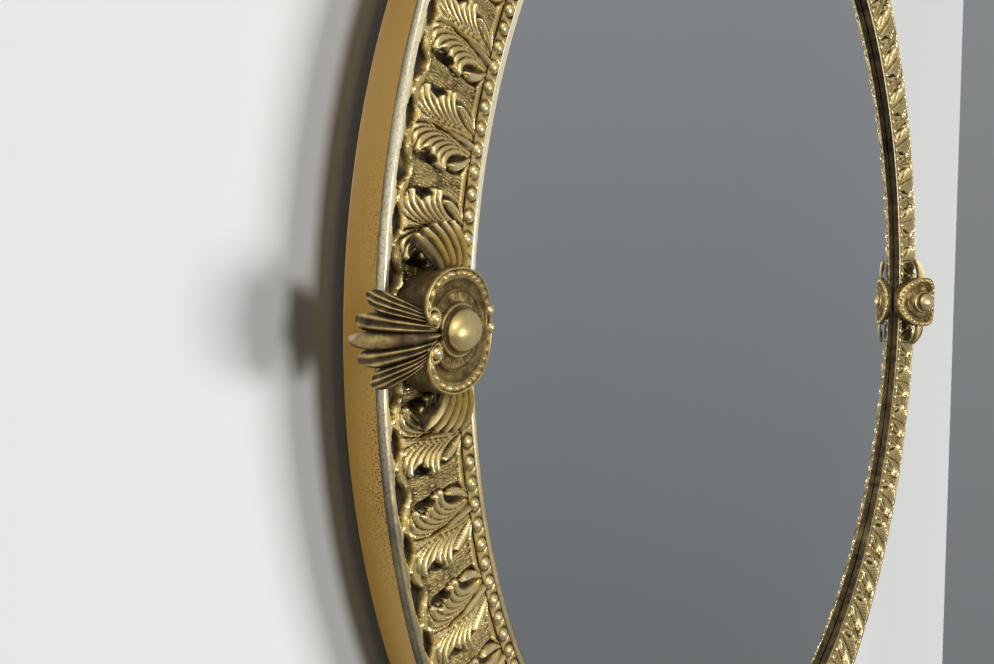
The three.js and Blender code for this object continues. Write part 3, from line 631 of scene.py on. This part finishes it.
def curl(side):
    """The thread that curls round a volute's ball: a ring with a round section, where the way
    from its middle is r = 2.45 + 0.5 cos tilt and the height follows 0.6 sin tilt."""
    turn = np.linspace(0, 2 * math.pi, 36, endpoint=False)[None, :]
    tilt = np.linspace(0, 2 * math.pi, 8, endpoint=False)[:, None]
    r = 2.45 + 0.5 * np.cos(tilt)
    u, R = r * np.cos(turn), r * 1.05 * np.sin(turn)
    h = 26.3 + 0.6 * np.sin(tilt) + 0.12 * R
    grid = np.stack([VOLUTE_BALL[0][0] * side + u, VOLUTE_BALL[0][1] + R, h], -1)
    # The front is painted pale as a highlight and the back dark as shade.
    return grid, np.clip(0.5 - 0.4 * np.sin(tilt), 0, 1) + 0 * turn


def lobe_at(a):
    """How far across its lobe each share a lies, f from -1 to 1, and how far the lobe reaches
    there: reach (1 - drop |f|^2.2)."""
    k = np.clip(np.searchsorted(LOBES, a[0], side="right") - 1, 0, 4)
    f = ((a[0] - LOBES[k]) / (LOBES[k + 1] - LOBES[k]) * 2 - 1)[None, :]
    drop = np.where(f * np.sign(a) > 0, OUTER_DROP[k], INNER_DROP[k])
    return f, LOBE_REACH[k] * (1 - drop * np.abs(f) ** 2.2)


def along_spine(t):
    """R and h of the palmette's spine at the share t, and R and h of the outward direction."""
    way = curve(SPINE, 200)
    dR, dh = np.gradient(way[:, 0]), np.gradient(way[:, 1])
    size = np.hypot(dR, dh)
    lines = (way[:, 0], way[:, 1], -dh / size, dR / size)
    return [np.interp(t * 199, np.arange(200), line) for line in lines]


def palmette():
    """The palmette that curls over the rim. Over (a, s) in [-1, 1] x [0, 1] its ribs fan out as
    u = K(a) t^0.8 at the share t = s reach(a) of the spine; five lobes swell as rounded ribs."""
    a = np.linspace(-1, 1, 171)[None, :]
    s = np.linspace(0, 1, 50)[:, None]
    f, reach = lobe_at(a)
    t = s * reach
    R, h, out_R, out_h = along_spine(t)
    spread = np.interp(np.abs(a), [0, 0.18, 0.5, 1], [0, 2.4, 7.8, 15.4])
    u = np.sign(a) * (spread * t ** 0.8 + 0.9 * np.abs(a))
    inside = np.abs(a) < BUD
    bud = np.where(inside, ease(t, 0.50, 0.70), 0) * np.sqrt(np.clip(1 - (a / BUD) ** 2, 0, 1))
    rib = np.sqrt(np.clip(1 - f ** 2, 0, 1)) * (0.15 + 0.85 * s)
    blades = np.where(np.abs(a) > 0.5, 4, 2)
    fine = np.where(inside, 0.5, 0.5 - 0.5 * np.cos(np.pi * blades * (f + 1)))
    root = np.exp(-(a / 0.12) ** 2) * (1 - ease(t, 0.16, 0.34))
    droop = 2.2 * np.abs(a) ** 1.6 * (0.5 + 0.5 * s)
    swell = 1.2 * rib + 0.6 * fine * ease(t, 0.02, 0.2) + 1.2 * bud
    off = swell * (0.25 + 0.75 * ease(s, 1.0, 0.88)) + root - droop
    front = np.stack([u, R + out_R * off, h + out_h * off], -1)
    under = -1.5 - droop + 0.3 * rib
    back = np.stack([u * 0.97, R + out_R * under, h + out_h * under], -1)
    # Rib crests, the root and the bud are painted pale and the valleys dark: painted highlight and
    # painted shade.
    low = np.clip(1.12 - 0.44 * fine ** 2 - 0.22 * rib - 0.6 * root - 0.25 * bud, 0.15, 1)
    return two_skins(front, back, low + 0 * s)


SIDE_BLADES = 5
SIDE_ROOT = 13.4


def side_leaf(side):
    """A leaf that springs from the disc's flank and stands over the border: five blades, each
    running from root to tip with u = root + (tip - root) s and a slight bend in R."""
    a = np.linspace(0, 1, 111)[None, :]
    s = np.linspace(0, 1, 32)[:, None]
    f = np.where(a >= 1, 1, (a * SIDE_BLADES) % 1 * 2 - 1)
    ridge = (1 - np.abs(f)) ** 2.2
    reach = 27.4 + 1.2 * np.sin(np.pi * a) - 3.6 * a - 1.6 * np.abs(f) ** 2
    u = SIDE_ROOT + (reach - SIDE_ROOT) * s
    lean = -0.4 + 6.5 * a
    R = 226.6 + 9.5 * a + lean * s - 3.2 * s * (1 - s)
    top = 22.9 + 0.9 * np.sin(np.pi * s) - 2.1 * s ** 2 - 0.8 * a * s
    rise = (2.1 * ridge - 1.1) * (0.3 + 0.7 * ease(s, 0.0, 0.3)) * (0.35 + 0.65 * ease(s, 1.0, 0.8))
    front = np.stack([side * u, R, top + rise - 0.3], -1)
    under = np.maximum(top - 2.0 + 0.3 * ridge, 18.4)
    back = np.stack([side * u, R + 0 * under, under], -1)
    # Ridges are painted pale and the gaps between them dark: painted highlight and painted shade.
    low = np.clip(1.0 - 1.1 * ridge, 0.1, 1) + 0 * s
    return two_skins(front, back, low)


def settled(grid, twist, slip):
    """A cartouche's points turned by twist about its studs' middle and moved by slip:
    u' = u cos - v sin + slip and v' = u sin + v cos, with v the way outwards from there."""
    u, R = grid[..., 0], grid[..., 1] - STUD_AT
    c, s = math.cos(twist), math.sin(twist)
    return np.stack([c * u - s * R + slip, STUD_AT + s * u + c * R, grid[..., 2]], -1)


def cartouche_shells():
    """A cartouche's closed shells: (points, darkness from patina, painted shade and painted
    highlight, wraps by rows, wraps by columns, caps).
    """
    balls = [((u * side, R, h), radii) for (u, R, h), radii in (VOLUTE_BALL, FOOT_BALL)
             for side in (-1, 1)]
    leaves = [palmette(), side_leaf(-1), side_leaf(1)]
    shells = [(*disc_shell(), False, True, ())]
    shells += [(*ball_shell(*ball), False, True, ("first_row", "last_row")) for ball in balls]
    shells += [(*curl(side), True, True, ()) for side in (-1, 1)]
    shells += [(*leaf, True, False, ("first_col", "last_col")) for leaf in leaves]
    return shells


def faces_inward(p, corners):
    """Whether a shell's volume, the sum of a.(b x c) + a.(c x d) over its cells, is negative."""
    a, b, c, d = [p[corners[:, k]] for k in range(4)]
    return np.einsum("ij,ij->", a, np.cross(b, c)) + np.einsum("ij,ij->", a, np.cross(c, d)) < 0


def cartouche(name, turn, twist, slip):
    """A cast cartouche from its shells, drawn at the top of the mirror and turned to its place."""
    points, faces, low, first = [], [], [], 0
    for grid, deep, wrap_rows, wrap_cols, caps in cartouche_shells():
        rows, cols = grid.shape[:2]
        grid = settled(grid, twist, slip)
        p = drawn_at(grid[..., 0], grid[..., 1], grid[..., 2], turn).reshape(-1, 3)
        cells_of = quads(rows, cols, wrap_rows, wrap_cols)
        loops = edge_loops(rows, cols)
        step = -1 if faces_inward(p, cells_of) else 1
        faces += (cells_of[:, ::step] + first).tolist()
        faces += [(loops[cap][::step] + first).tolist() for cap in caps]
        points.append(p)
        low.append(deep.ravel())
        first += rows * cols
    values = {"recess": np.concatenate(low), "polish": np.zeros(first)}
    return piece(name, np.concatenate(points), faces, values, sharp=75, weld=True)


# ---------------------------------------------------------------- material nodes


def new_material(name):
    """An empty material and its node tree."""
    material = bpy.data.materials.new(name)
    material.use_nodes = True
    material.node_tree.nodes.clear()
    return material, material.node_tree


def node(tree, kind, inputs=None, **settings):
    """Adds a node, sets its settings, and fills or links its inputs by name or number."""
    made = tree.nodes.new("ShaderNode" + kind)
    for key, value in settings.items():
        setattr(made, key, value)
    for key, value in (inputs or {}).items():
        if isinstance(value, bpy.types.NodeSocket):
            tree.links.new(value, made.inputs[key])
        else:
            made.inputs[key].default_value = value
    return made


def mixed(tree, factor, a, b):
    """Colour a where factor is 0 and b where it is 1."""
    made = node(tree, "Mix", {0: factor}, data_type="RGBA")
    for number, value in ((6, a), (7, b)):
        if isinstance(value, bpy.types.NodeSocket):
            tree.links.new(value, made.inputs[number])
        else:
            made.inputs[number].default_value = (*value, 1.0)
    return made.outputs[2]


def math_node(tree, operation, a, b=0.0, clamp=False):
    """One sum, product or comparison."""
    return node(tree, "Math", {0: a, 1: b}, operation=operation, use_clamp=clamp).outputs[0]


def plus(tree, a, b, clamp=False):
    """a + b."""
    return math_node(tree, "ADD", a, b, clamp)


def times(tree, a, b):
    """a b."""
    return math_node(tree, "MULTIPLY", a, b)


def stretch(tree, value, low, high, to_low=0.0, to_high=1.0):
    """value moved from the range low..high to to_low..to_high, and held there."""
    return node(tree, "MapRange", {0: value, 1: low, 2: high, 3: to_low, 4: to_high}).outputs[0]


def ramp(tree, value, stops):
    """A colour ramp through (place, colour) stops."""
    made = node(tree, "ValToRGB", {0: value})
    elements = made.color_ramp.elements
    while len(elements) < len(stops):
        elements.new(0.5)
    for element, (spot, colour) in zip(elements, stops):
        element.position = spot
        element.color = (*colour, 1.0)
    return made.outputs[0]


def object_space(tree, scale=(1, 1, 1)):
    """The piece's own coordinates, scaled."""
    where = node(tree, "TexCoord").outputs["Object"]
    return node(tree, "Mapping", {0: where, 3: scale}).outputs[0]


def axis_of(tree, where, number):
    """One of a point's three coordinates."""
    return node(tree, "SeparateXYZ", {0: where}).outputs[number]


def kept_value(tree, name):
    """A number that the piece keeps at each of its points."""
    return node(tree, "Attribute", attribute_name=name).outputs["Fac"]


def noise(tree, where, scale, detail=4.0, rough=0.6):
    """Soft cloud noise from 0 to 1."""
    inputs = {"Vector": where, "Scale": scale, "Detail": detail, "Roughness": rough}
    return node(tree, "TexNoise", inputs).outputs[0]


def cells(tree, where, scale, random=1.0):
    """Distance from the nearest of many scattered points."""
    inputs = {"Vector": where, "Scale": scale, "Randomness": random}
    return node(tree, "TexVoronoi", inputs).outputs["Distance"]


def finished(tree, inputs, bumps=()):
    """The surface and its bumps, given as (height, distance in m, strength)."""
    normal = None
    for height, distance, strength in bumps:
        fill = {"Height": height, "Distance": distance, "Strength": strength}
        if normal is not None:
            fill["Normal"] = normal
        normal = node(tree, "Bump", fill).outputs[0]
    if normal is not None:
        inputs["Normal"] = normal
    shader = node(tree, "BsdfPrincipled", inputs)
    node(tree, "OutputMaterial", {"Surface": shader.outputs[0]})


def panel_scales(tree):
    """Small scales on the panels: the cells of a stretched, half-random grid, 0 elsewhere."""
    across = times(tree, kept_value(tree, "across"), 1.40)
    inward = times(tree, kept_value(tree, "inward"), 0.60)
    sheet = node(tree, "CombineXYZ", {0: across, 1: inward}).outputs[0]
    scale = stretch(tree, cells(tree, sheet, 1.0, random=0.55), 0.22, 0.60)
    return times(tree, scale, kept_value(tree, "panel"))


def grime_and_shade_depth(tree, where, grime, scale, lower_edge_shade):
    """How dark the brass is painted: the recess, patina and painted shade, with grime, the lower
    edges' painted shade, scales and clouds added.
    """
    clouds = noise(tree, where, 22.0, 4.0, 0.6)
    depth = plus(tree, kept_value(tree, "recess"), stretch(tree, grime, 0.3, 0.7, -0.15, 0.15))
    depth = plus(tree, depth, times(tree, lower_edge_shade, 0.66))
    depth = plus(tree, depth, times(tree, scale, 0.52))
    return plus(tree, depth, stretch(tree, clouds, 0.3, 0.7, -0.06, 0.06), True)


def patinated_brass():
    """Cast brass: dark brown in the recesses, from patina and painted shade, olive on the flanks
    and pale on the tops, from rubbing and painted highlight. The turned edges are rubbed pale,
    and are painted brighter in the upper half and darker in the lower one as light from above
    falls."""
    material, tree = new_material("patinated_brass")
    where = object_space(tree)
    polish = kept_value(tree, "polish")
    # The rubbed rim and lip are painted brighter in the upper half and darker in the lower half, as
    # light from above falls.
    rubbed_and_lit_edges = times(tree, polish, stretch(tree, axis_of(tree, where, 2), -0.05, 0.01, 0.18, 1.0))
    lower_edge_shade = math_node(tree, "SUBTRACT", polish, rubbed_and_lit_edges)
    scale = panel_scales(tree)
    grime = noise(tree, where, 260.0, 5.0, 0.65)
    depth = grime_and_shade_depth(tree, where, grime, scale, lower_edge_shade)
    # The near-black end is painted shade in the deep hollows. The pale end is rubbed tops and
    # painted highlight.
    brass = ramp(tree, depth, [(0.0, (0.90, 0.76, 0.43)), (0.32, (0.76, 0.59, 0.26)),
                               (0.54, (0.46, 0.335, 0.12)), (0.76, (0.135, 0.088, 0.030)),
                               (0.98, (0.022, 0.013, 0.006))])
    olive = noise(tree, where, 60.0, 3.0, 0.5)
    brass = mixed(tree, stretch(tree, olive, 0.52, 0.75, 0.0, 0.4), brass, (0.42, 0.34, 0.12))
    speck = stretch(tree, noise(tree, where, 1500.0, 3.0, 0.7), 0.52, 0.6, 1.0, 0.45)
    brass = mixed(tree, times(tree, rubbed_and_lit_edges, speck), brass, (0.90, 0.82, 0.60))
    rough = stretch(tree, depth, 0.1, 0.85, 0.22, 0.55)
    rough = plus(tree, rough, stretch(tree, grime, 0.3, 0.7, -0.05, 0.07))
    metal = stretch(tree, depth, 0.3, 0.98, 0.74, 0.55)
    metal = math_node(tree, "SUBTRACT", metal, times(tree, rubbed_and_lit_edges, 0.34))
    pits = cells(tree, where, 900.0)
    domes = math_node(tree, "SUBTRACT", 1.0, scale)
    finished(tree, {"Base Color": brass, "Metallic": metal, "Roughness": rough},
             [(domes, 0.0005, 1.0), (grime, 0.0002, 0.45), (pits, 0.00005, 0.3)])
    return material


def ochre_lacquer():
    """Satin lacquer over brass: ochre drifting to olive and orange, with many dark pinholes
    that crowd towards the front edge."""
    material, tree = new_material("ochre_lacquer")
    where = object_space(tree)
    drift = noise(tree, where, 7.0, 3.0, 0.55)
    colour = ramp(tree, drift, [(0.30, (0.52, 0.33, 0.070)), (0.5, (0.60, 0.34, 0.070)),
                                (0.7, (0.65, 0.33, 0.065))])
    mottle = noise(tree, where, 150.0, 4.0, 0.6)
    colour = mixed(tree, stretch(tree, mottle, 0.3, 0.75, 0.0, 0.3), colour, (0.42, 0.25, 0.048))
    front = stretch(tree, axis_of(tree, where, 1), -0.016, -0.004, 1.0, 0.25)
    crowd = stretch(tree, noise(tree, where, 16.0, 2.0), 0.38, 0.62, 0.12, 0.44)
    spread = times(tree, crowd, front)
    dots = math_node(tree, "LESS_THAN", cells(tree, where, 1700.0), spread)
    few = math_node(tree, "LESS_THAN", cells(tree, where, 800.0), times(tree, spread, 0.5))
    holes = math_node(tree, "MAXIMUM", dots, few)
    colour = mixed(tree, holes, colour, (0.075, 0.042, 0.014))
    rough = stretch(tree, mottle, 0.3, 0.7, 0.33, 0.47)
    rough = plus(tree, rough, times(tree, holes, 0.3))
    finished(tree, {"Base Color": colour, "Metallic": 0.5, "Roughness": rough,
                    "Coat Weight": 0.25, "Coat Roughness": 0.35},
             [(holes, 0.00012, -0.6), (mottle, 0.0002, 0.3)])
    return material


def silvered_glass():
    """Aged silvering seen through glass: grey, even, with the faintest dust and foxing."""
    material, tree = new_material("silvered_glass")
    where = object_space(tree)
    clouds = noise(tree, where, 9.0, 4.0, 0.6)
    colour = mixed(tree, stretch(tree, clouds, 0.3, 0.7), (0.86, 0.88, 0.89), (0.89, 0.905, 0.91))
    dust = cells(tree, where, 420.0)
    specks = math_node(tree, "LESS_THAN", dust, 0.03)
    colour = mixed(tree, times(tree, specks, 0.25), colour, (0.33, 0.33, 0.31))
    rough = stretch(tree, clouds, 0.3, 0.7, 0.03, 0.055)
    rough = plus(tree, rough, times(tree, specks, 0.08))
    finished(tree, {"Base Color": colour, "Metallic": 1.0, "Roughness": rough,
                    "Coat Weight": 0.3, "Coat Roughness": 0.02},
             [(noise(tree, where, 3.0, 1.0), 0.0004, 0.1)])
    return material


def plain_metal(name, dark, light, rough):
    """Worn metal: two shades in soft clouds, fine scratches along Z and a little grime."""
    material, tree = new_material(name)
    where = object_space(tree)
    clouds = noise(tree, where, 260.0, 4.0, 0.6)
    scratches = noise(tree, object_space(tree, (1, 1, 0.06)), 1800.0, 2.0)
    colour = mixed(tree, stretch(tree, clouds, 0.3, 0.7), dark, light)
    finish = stretch(tree, scratches, 0.3, 0.7, rough - 0.08, rough + 0.12)
    finished(tree, {"Base Color": colour, "Metallic": 1.0, "Roughness": finish},
             [(clouds, 0.0001, 0.3), (scratches, 0.00004, 0.3)])
    return material


def toned(colour, share):
    """A colour made darker, or paler, by a share."""
    return tuple(share * c for c in colour)


def grained_wood(name, pale, dark, band_scale):
    """Wood: bands stretched along the grain, bent by noise, with short dark pores."""
    material, tree = new_material(name)
    along = object_space(tree, (1.0, 1.0, 0.12))
    bend = noise(tree, along, 14.0, 3.0)
    inputs = {"Vector": along, "Scale": band_scale, "Distortion": 9.0, "Detail": 3.0,
              "Detail Scale": 1.4}
    bands = node(tree, "TexWave", inputs, wave_type="BANDS", bands_direction="X").outputs[1]
    pores = noise(tree, object_space(tree, (1.0, 1.0, 0.05)), 1500.0, 2.0, 0.7)
    colour = mixed(tree, bands, pale, dark)
    colour = mixed(tree, stretch(tree, pores, 0.56, 0.7, 0.0, 0.55), colour, toned(dark, 0.45))
    colour = mixed(tree, stretch(tree, bend, 0.35, 0.7, 0.0, 0.35), colour, toned(pale, 1.15))
    rough = stretch(tree, pores, 0.3, 0.7, 0.6, 0.85)
    finished(tree, {"Base Color": colour, "Roughness": rough},
             [(pores, 0.0002, 0.5), (bands, 0.0002, 0.2)])
    return material


def fuzzy(name, dark, light, scale, rough):
    """Felt or rubber: close mottling with a fine nap."""
    material, tree = new_material(name)
    where = object_space(tree)
    nap = noise(tree, where, scale, 5.0, 0.7)
    wide = noise(tree, where, 60.0, 2.0)
    colour = mixed(tree, stretch(tree, nap, 0.3, 0.7), dark, light)
    colour = mixed(tree, stretch(tree, wide, 0.4, 0.7, 0.0, 0.3), colour, toned(dark, 0.7))
    finished(tree, {"Base Color": colour, "Roughness": rough, "Sheen Weight": 0.2},
             [(nap, 0.0003, 0.6)])
    return material


def plaster(tree, colour, rough, right_tone):
    """Painted plaster, darkened by right_tone towards the right: painted shade where the light on
    the wall falls off.
    """
    where = object_space(tree)
    blotch = stretch(tree, noise(tree, where, 3.0, 2.0), 0.3, 0.7)
    tint = mixed(tree, blotch, colour, toned(colour, 0.985))
    to_right = stretch(tree, axis_of(tree, where, 0), 0.0, 0.27)
    tint = mixed(tree, to_right, tint, toned(colour, right_tone))
    bump = {"Height": noise(tree, where, 160.0, 4.0), "Distance": 0.0002, "Strength": 0.15}
    inputs = {"Base Color": tint, "Roughness": rough, "Specular IOR Level": 0.0,
              "Normal": node(tree, "Bump", bump).outputs[0]}
    return node(tree, "BsdfPrincipled", inputs).outputs[0]


def floor_paint():
    """The pale floor."""
    material, tree = new_material("floor_paint")
    node(tree, "OutputMaterial", {"Surface": plaster(tree, (0.78, 0.775, 0.76), 0.8, 1.0)})
    return material


def wall_paint():
    """The pale wall: it gives back little light to what it faces, throws no shadow, and isn't
    seen from behind."""
    material, tree = new_material("wall_paint")
    bounced = node(tree, "LightPath").outputs["Is Diffuse Ray"]
    dim = node(tree, "BsdfDiffuse", {"Color": (0.14, 0.14, 0.14, 1.0)}).outputs[0]
    paint = plaster(tree, (0.80, 0.80, 0.79), 0.9, 0.745)
    paint = node(tree, "MixShader", {0: bounced, 1: paint, 2: dim}).outputs[0]
    behind = node(tree, "NewGeometry").outputs["Backfacing"]
    shadow = node(tree, "LightPath").outputs["Is Shadow Ray"]
    unseen = math_node(tree, "MAXIMUM", behind, shadow)
    clear = node(tree, "BsdfTransparent").outputs[0]
    paint = node(tree, "MixShader", {0: unseen, 1: paint, 2: clear}).outputs[0]
    node(tree, "OutputMaterial", {"Surface": paint})
    return material


# ---------------------------------------------------------------- making the object

BRASS = patinated_brass()
LACQUER = ochre_lacquer()
SILVERED = silvered_glass()
PALE_BRASS = plain_metal("pale_brass", (0.50, 0.37, 0.15), (0.68, 0.54, 0.27), 0.34)
STEEL = plain_metal("screw_steel", (0.30, 0.30, 0.29), (0.50, 0.49, 0.46), 0.38)
PINE = grained_wood("pine", (0.56, 0.36, 0.17), (0.40, 0.22, 0.09), 26.0)
PLYWOOD = grained_wood("plywood", (0.42, 0.27, 0.14), (0.30, 0.17, 0.08), 11.0)
FELT = fuzzy("felt", (0.030, 0.045, 0.034), (0.062, 0.078, 0.056), 1400.0, 0.95)
RUBBER = fuzzy("rubber", (0.018, 0.017, 0.016), (0.035, 0.033, 0.031), 700.0, 0.75)


def finish_with(obj, material):
    """Leaves a piece with this one material."""
    obj.data.materials.clear()
    obj.data.materials.append(material)


def dress(obj, material, body, slot, *nodes):
    """Gives a piece its finish, the body that it rides on and the solids it stands for."""
    finish_with(obj, material)
    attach(obj, body)
    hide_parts(*nodes)


for k in range(4):
    dress(band_quarter(k), BRASS, "frame", "patinated_brass", f"front_band_{BAND_PLACES[k]}")
dress(pearls(), BRASS, "frame", "patinated_brass", "pearl_ring")
dress(hoop(), LACQUER, "frame", "ochre_lacquer", "side_hoop")
dress(glass(), SILVERED, "frame", "mirror_glass", "mirror_glass")
for k, where in enumerate(QUARTERS):
    mount = cartouche(f"cast_cartouche_{where}", k * math.pi / 2, *SETTLED[k])
    dress(mount, BRASS, "frame", "patinated_brass", f"cartouche_{where}")

FINISH = {"cartouche": BRASS, "wood_core": PINE, "glass_cushion": FELT, "backboard": PLYWOOD,
          "cartouche_nut": STEEL, "turn_button": PALE_BRASS, "turn_button_screw": STEEL,
          "hanger": PALE_BRASS, "hanger_screw": STEEL, "wall_bumper": RUBBER}
for name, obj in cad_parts.items():
    starts = [key for key in FINISH if name.startswith(key)]
    if starts:
        finish_with(obj, FINISH[max(starts, key=len)])

# ---------------------------------------------------------------- wall, floor, lights, camera

WALL_GAP = 0.0004
WALL_HALF = 0.457
WALL_TOP = 0.62
FLOOR_Z = -0.75


def flat_stage(name, corners, material):
    """A flat four-cornered stage piece."""
    mesh = bpy.data.meshes.new(name)
    mesh.from_pydata(corners, [], [(0, 1, 2, 3)])
    mesh.materials.append(material)
    obj = bpy.data.objects.new(name, mesh)
    bpy.context.scene.collection.objects.link(obj)
    return obj


def softbox(name, where, aim, size, watts, glossy=True, diffuse=True, direct=False):
    """A rectangular area light at where, facing aim; a direct one lights only what it shines on."""
    data = bpy.data.lights.new(name, "AREA")
    data.shape = "RECTANGLE"
    data.size, data.size_y = size
    data.energy = watts
    if direct:
        data.cycles.max_bounces = 0
    obj = bpy.data.objects.new(name, data)
    obj.location = where
    obj.rotation_euler = (Vector(aim) - Vector(where)).to_track_quat("-Z", "Y").to_euler()
    obj.visible_glossy = glossy
    obj.visible_diffuse = diffuse
    bpy.context.scene.collection.objects.link(obj)


def studio_world():
    """The room: darker below than above, with a pale window high at the left, and little fill."""
    world = bpy.data.worlds.new("studio")
    bpy.context.scene.world = world
    world.use_nodes = True
    tree = world.node_tree
    tree.nodes.clear()
    toward = node(tree, "TexCoord").outputs["Generated"]
    room = [(0.0, (0.142, 0.152, 0.157)), (1.0, (0.275, 0.285, 0.292))]
    shade = ramp(tree, stretch(tree, axis_of(tree, toward, 2), -0.7, 0.7), room)
    facing = {0: toward, 1: (-0.62, -0.45, 0.64)}
    window = node(tree, "VectorMath", facing, operation="DOT_PRODUCT").outputs["Value"]
    shade = mixed(tree, stretch(tree, window, 0.25, 0.95), shade, (1.15, 1.12, 1.0))
    fill = node(tree, "LightPath").outputs["Is Diffuse Ray"]
    strength = stretch(tree, fill, 0.0, 1.0, 1.0, 0.03)
    background = node(tree, "Background", {0: shade, 1: strength}).outputs[0]
    node(tree, "OutputWorld", {0: background})


wall_corners = [(-WALL_HALF, WALL_GAP, FLOOR_Z), (WALL_HALF, WALL_GAP, FLOOR_Z),
                (WALL_HALF, WALL_GAP, WALL_TOP), (-WALL_HALF, WALL_GAP, WALL_TOP)]
flat_stage("wall", wall_corners, wall_paint())
floor = flat_stage("floor", [(-1.5, -3, FLOOR_Z), (1.5, -3, FLOOR_Z),
                             (1.5, 1.5, FLOOR_Z), (-1.5, 1.5, FLOOR_Z)], floor_paint())
floor.visible_glossy = False
floor.visible_diffuse = False

MIDDLE = (0, 0, 0)
LEFT_SIDE = (-0.2, 0, 0)
softbox("front_box", (1.80, -7.2, -0.48), MIDDLE, (1.68, 1.68), 228)
softbox("side_light", (5.44, -5.68, -0.70), MIDDLE, (3.1, 1.8), 555, glossy=False)
softbox("top_box", (-0.60, -1.0, 1.20), LEFT_SIDE, (1.1, 0.8), 3.6, diffuse=False)
softbox("left_box", (-0.75, -0.75, 0.75), LEFT_SIDE, (0.16, 0.22), 0.8, diffuse=False)
softbox("hoop_box", (-1.20, 0.55, 0.10), LEFT_SIDE, (0.5, 0.9), 8.0, glossy=False, direct=True)
softbox("back_box", (0.2, 1.7, 0.5), MIDDLE, (1.2, 1.0), 26, direct=True)
studio_world()

# The camera stands close to the wall at the mirror's left and looks along the glass.
CAMERA_AT = (-0.40804, -0.17684, 0.01482)
CAMERA_RIGHT = (0.61531456, -0.78822308, 0.009611)
CAMERA_UP = (0.02960421, 0.03529039, 0.99893853)
CAMERA_FORWARD = (0.78772558, 0.61437689, -0.04504941)
lens = bpy.data.cameras.new("camera")
lens.sensor_width = 36.0
lens.lens = 33.33
lens.shift_x = -0.0004
lens.shift_y = -0.0156
lens.clip_start = 0.01
camera = bpy.data.objects.new("camera", lens)
axes = Matrix((CAMERA_RIGHT, CAMERA_UP, tuple(-c for c in CAMERA_FORWARD))).transposed()
camera.matrix_world = Matrix.Translation(CAMERA_AT) @ axes.to_4x4()
bpy.context.scene.collection.objects.link(camera)
bpy.context.scene.camera = camera
bpy.context.scene.view_settings.view_transform = "Standard"
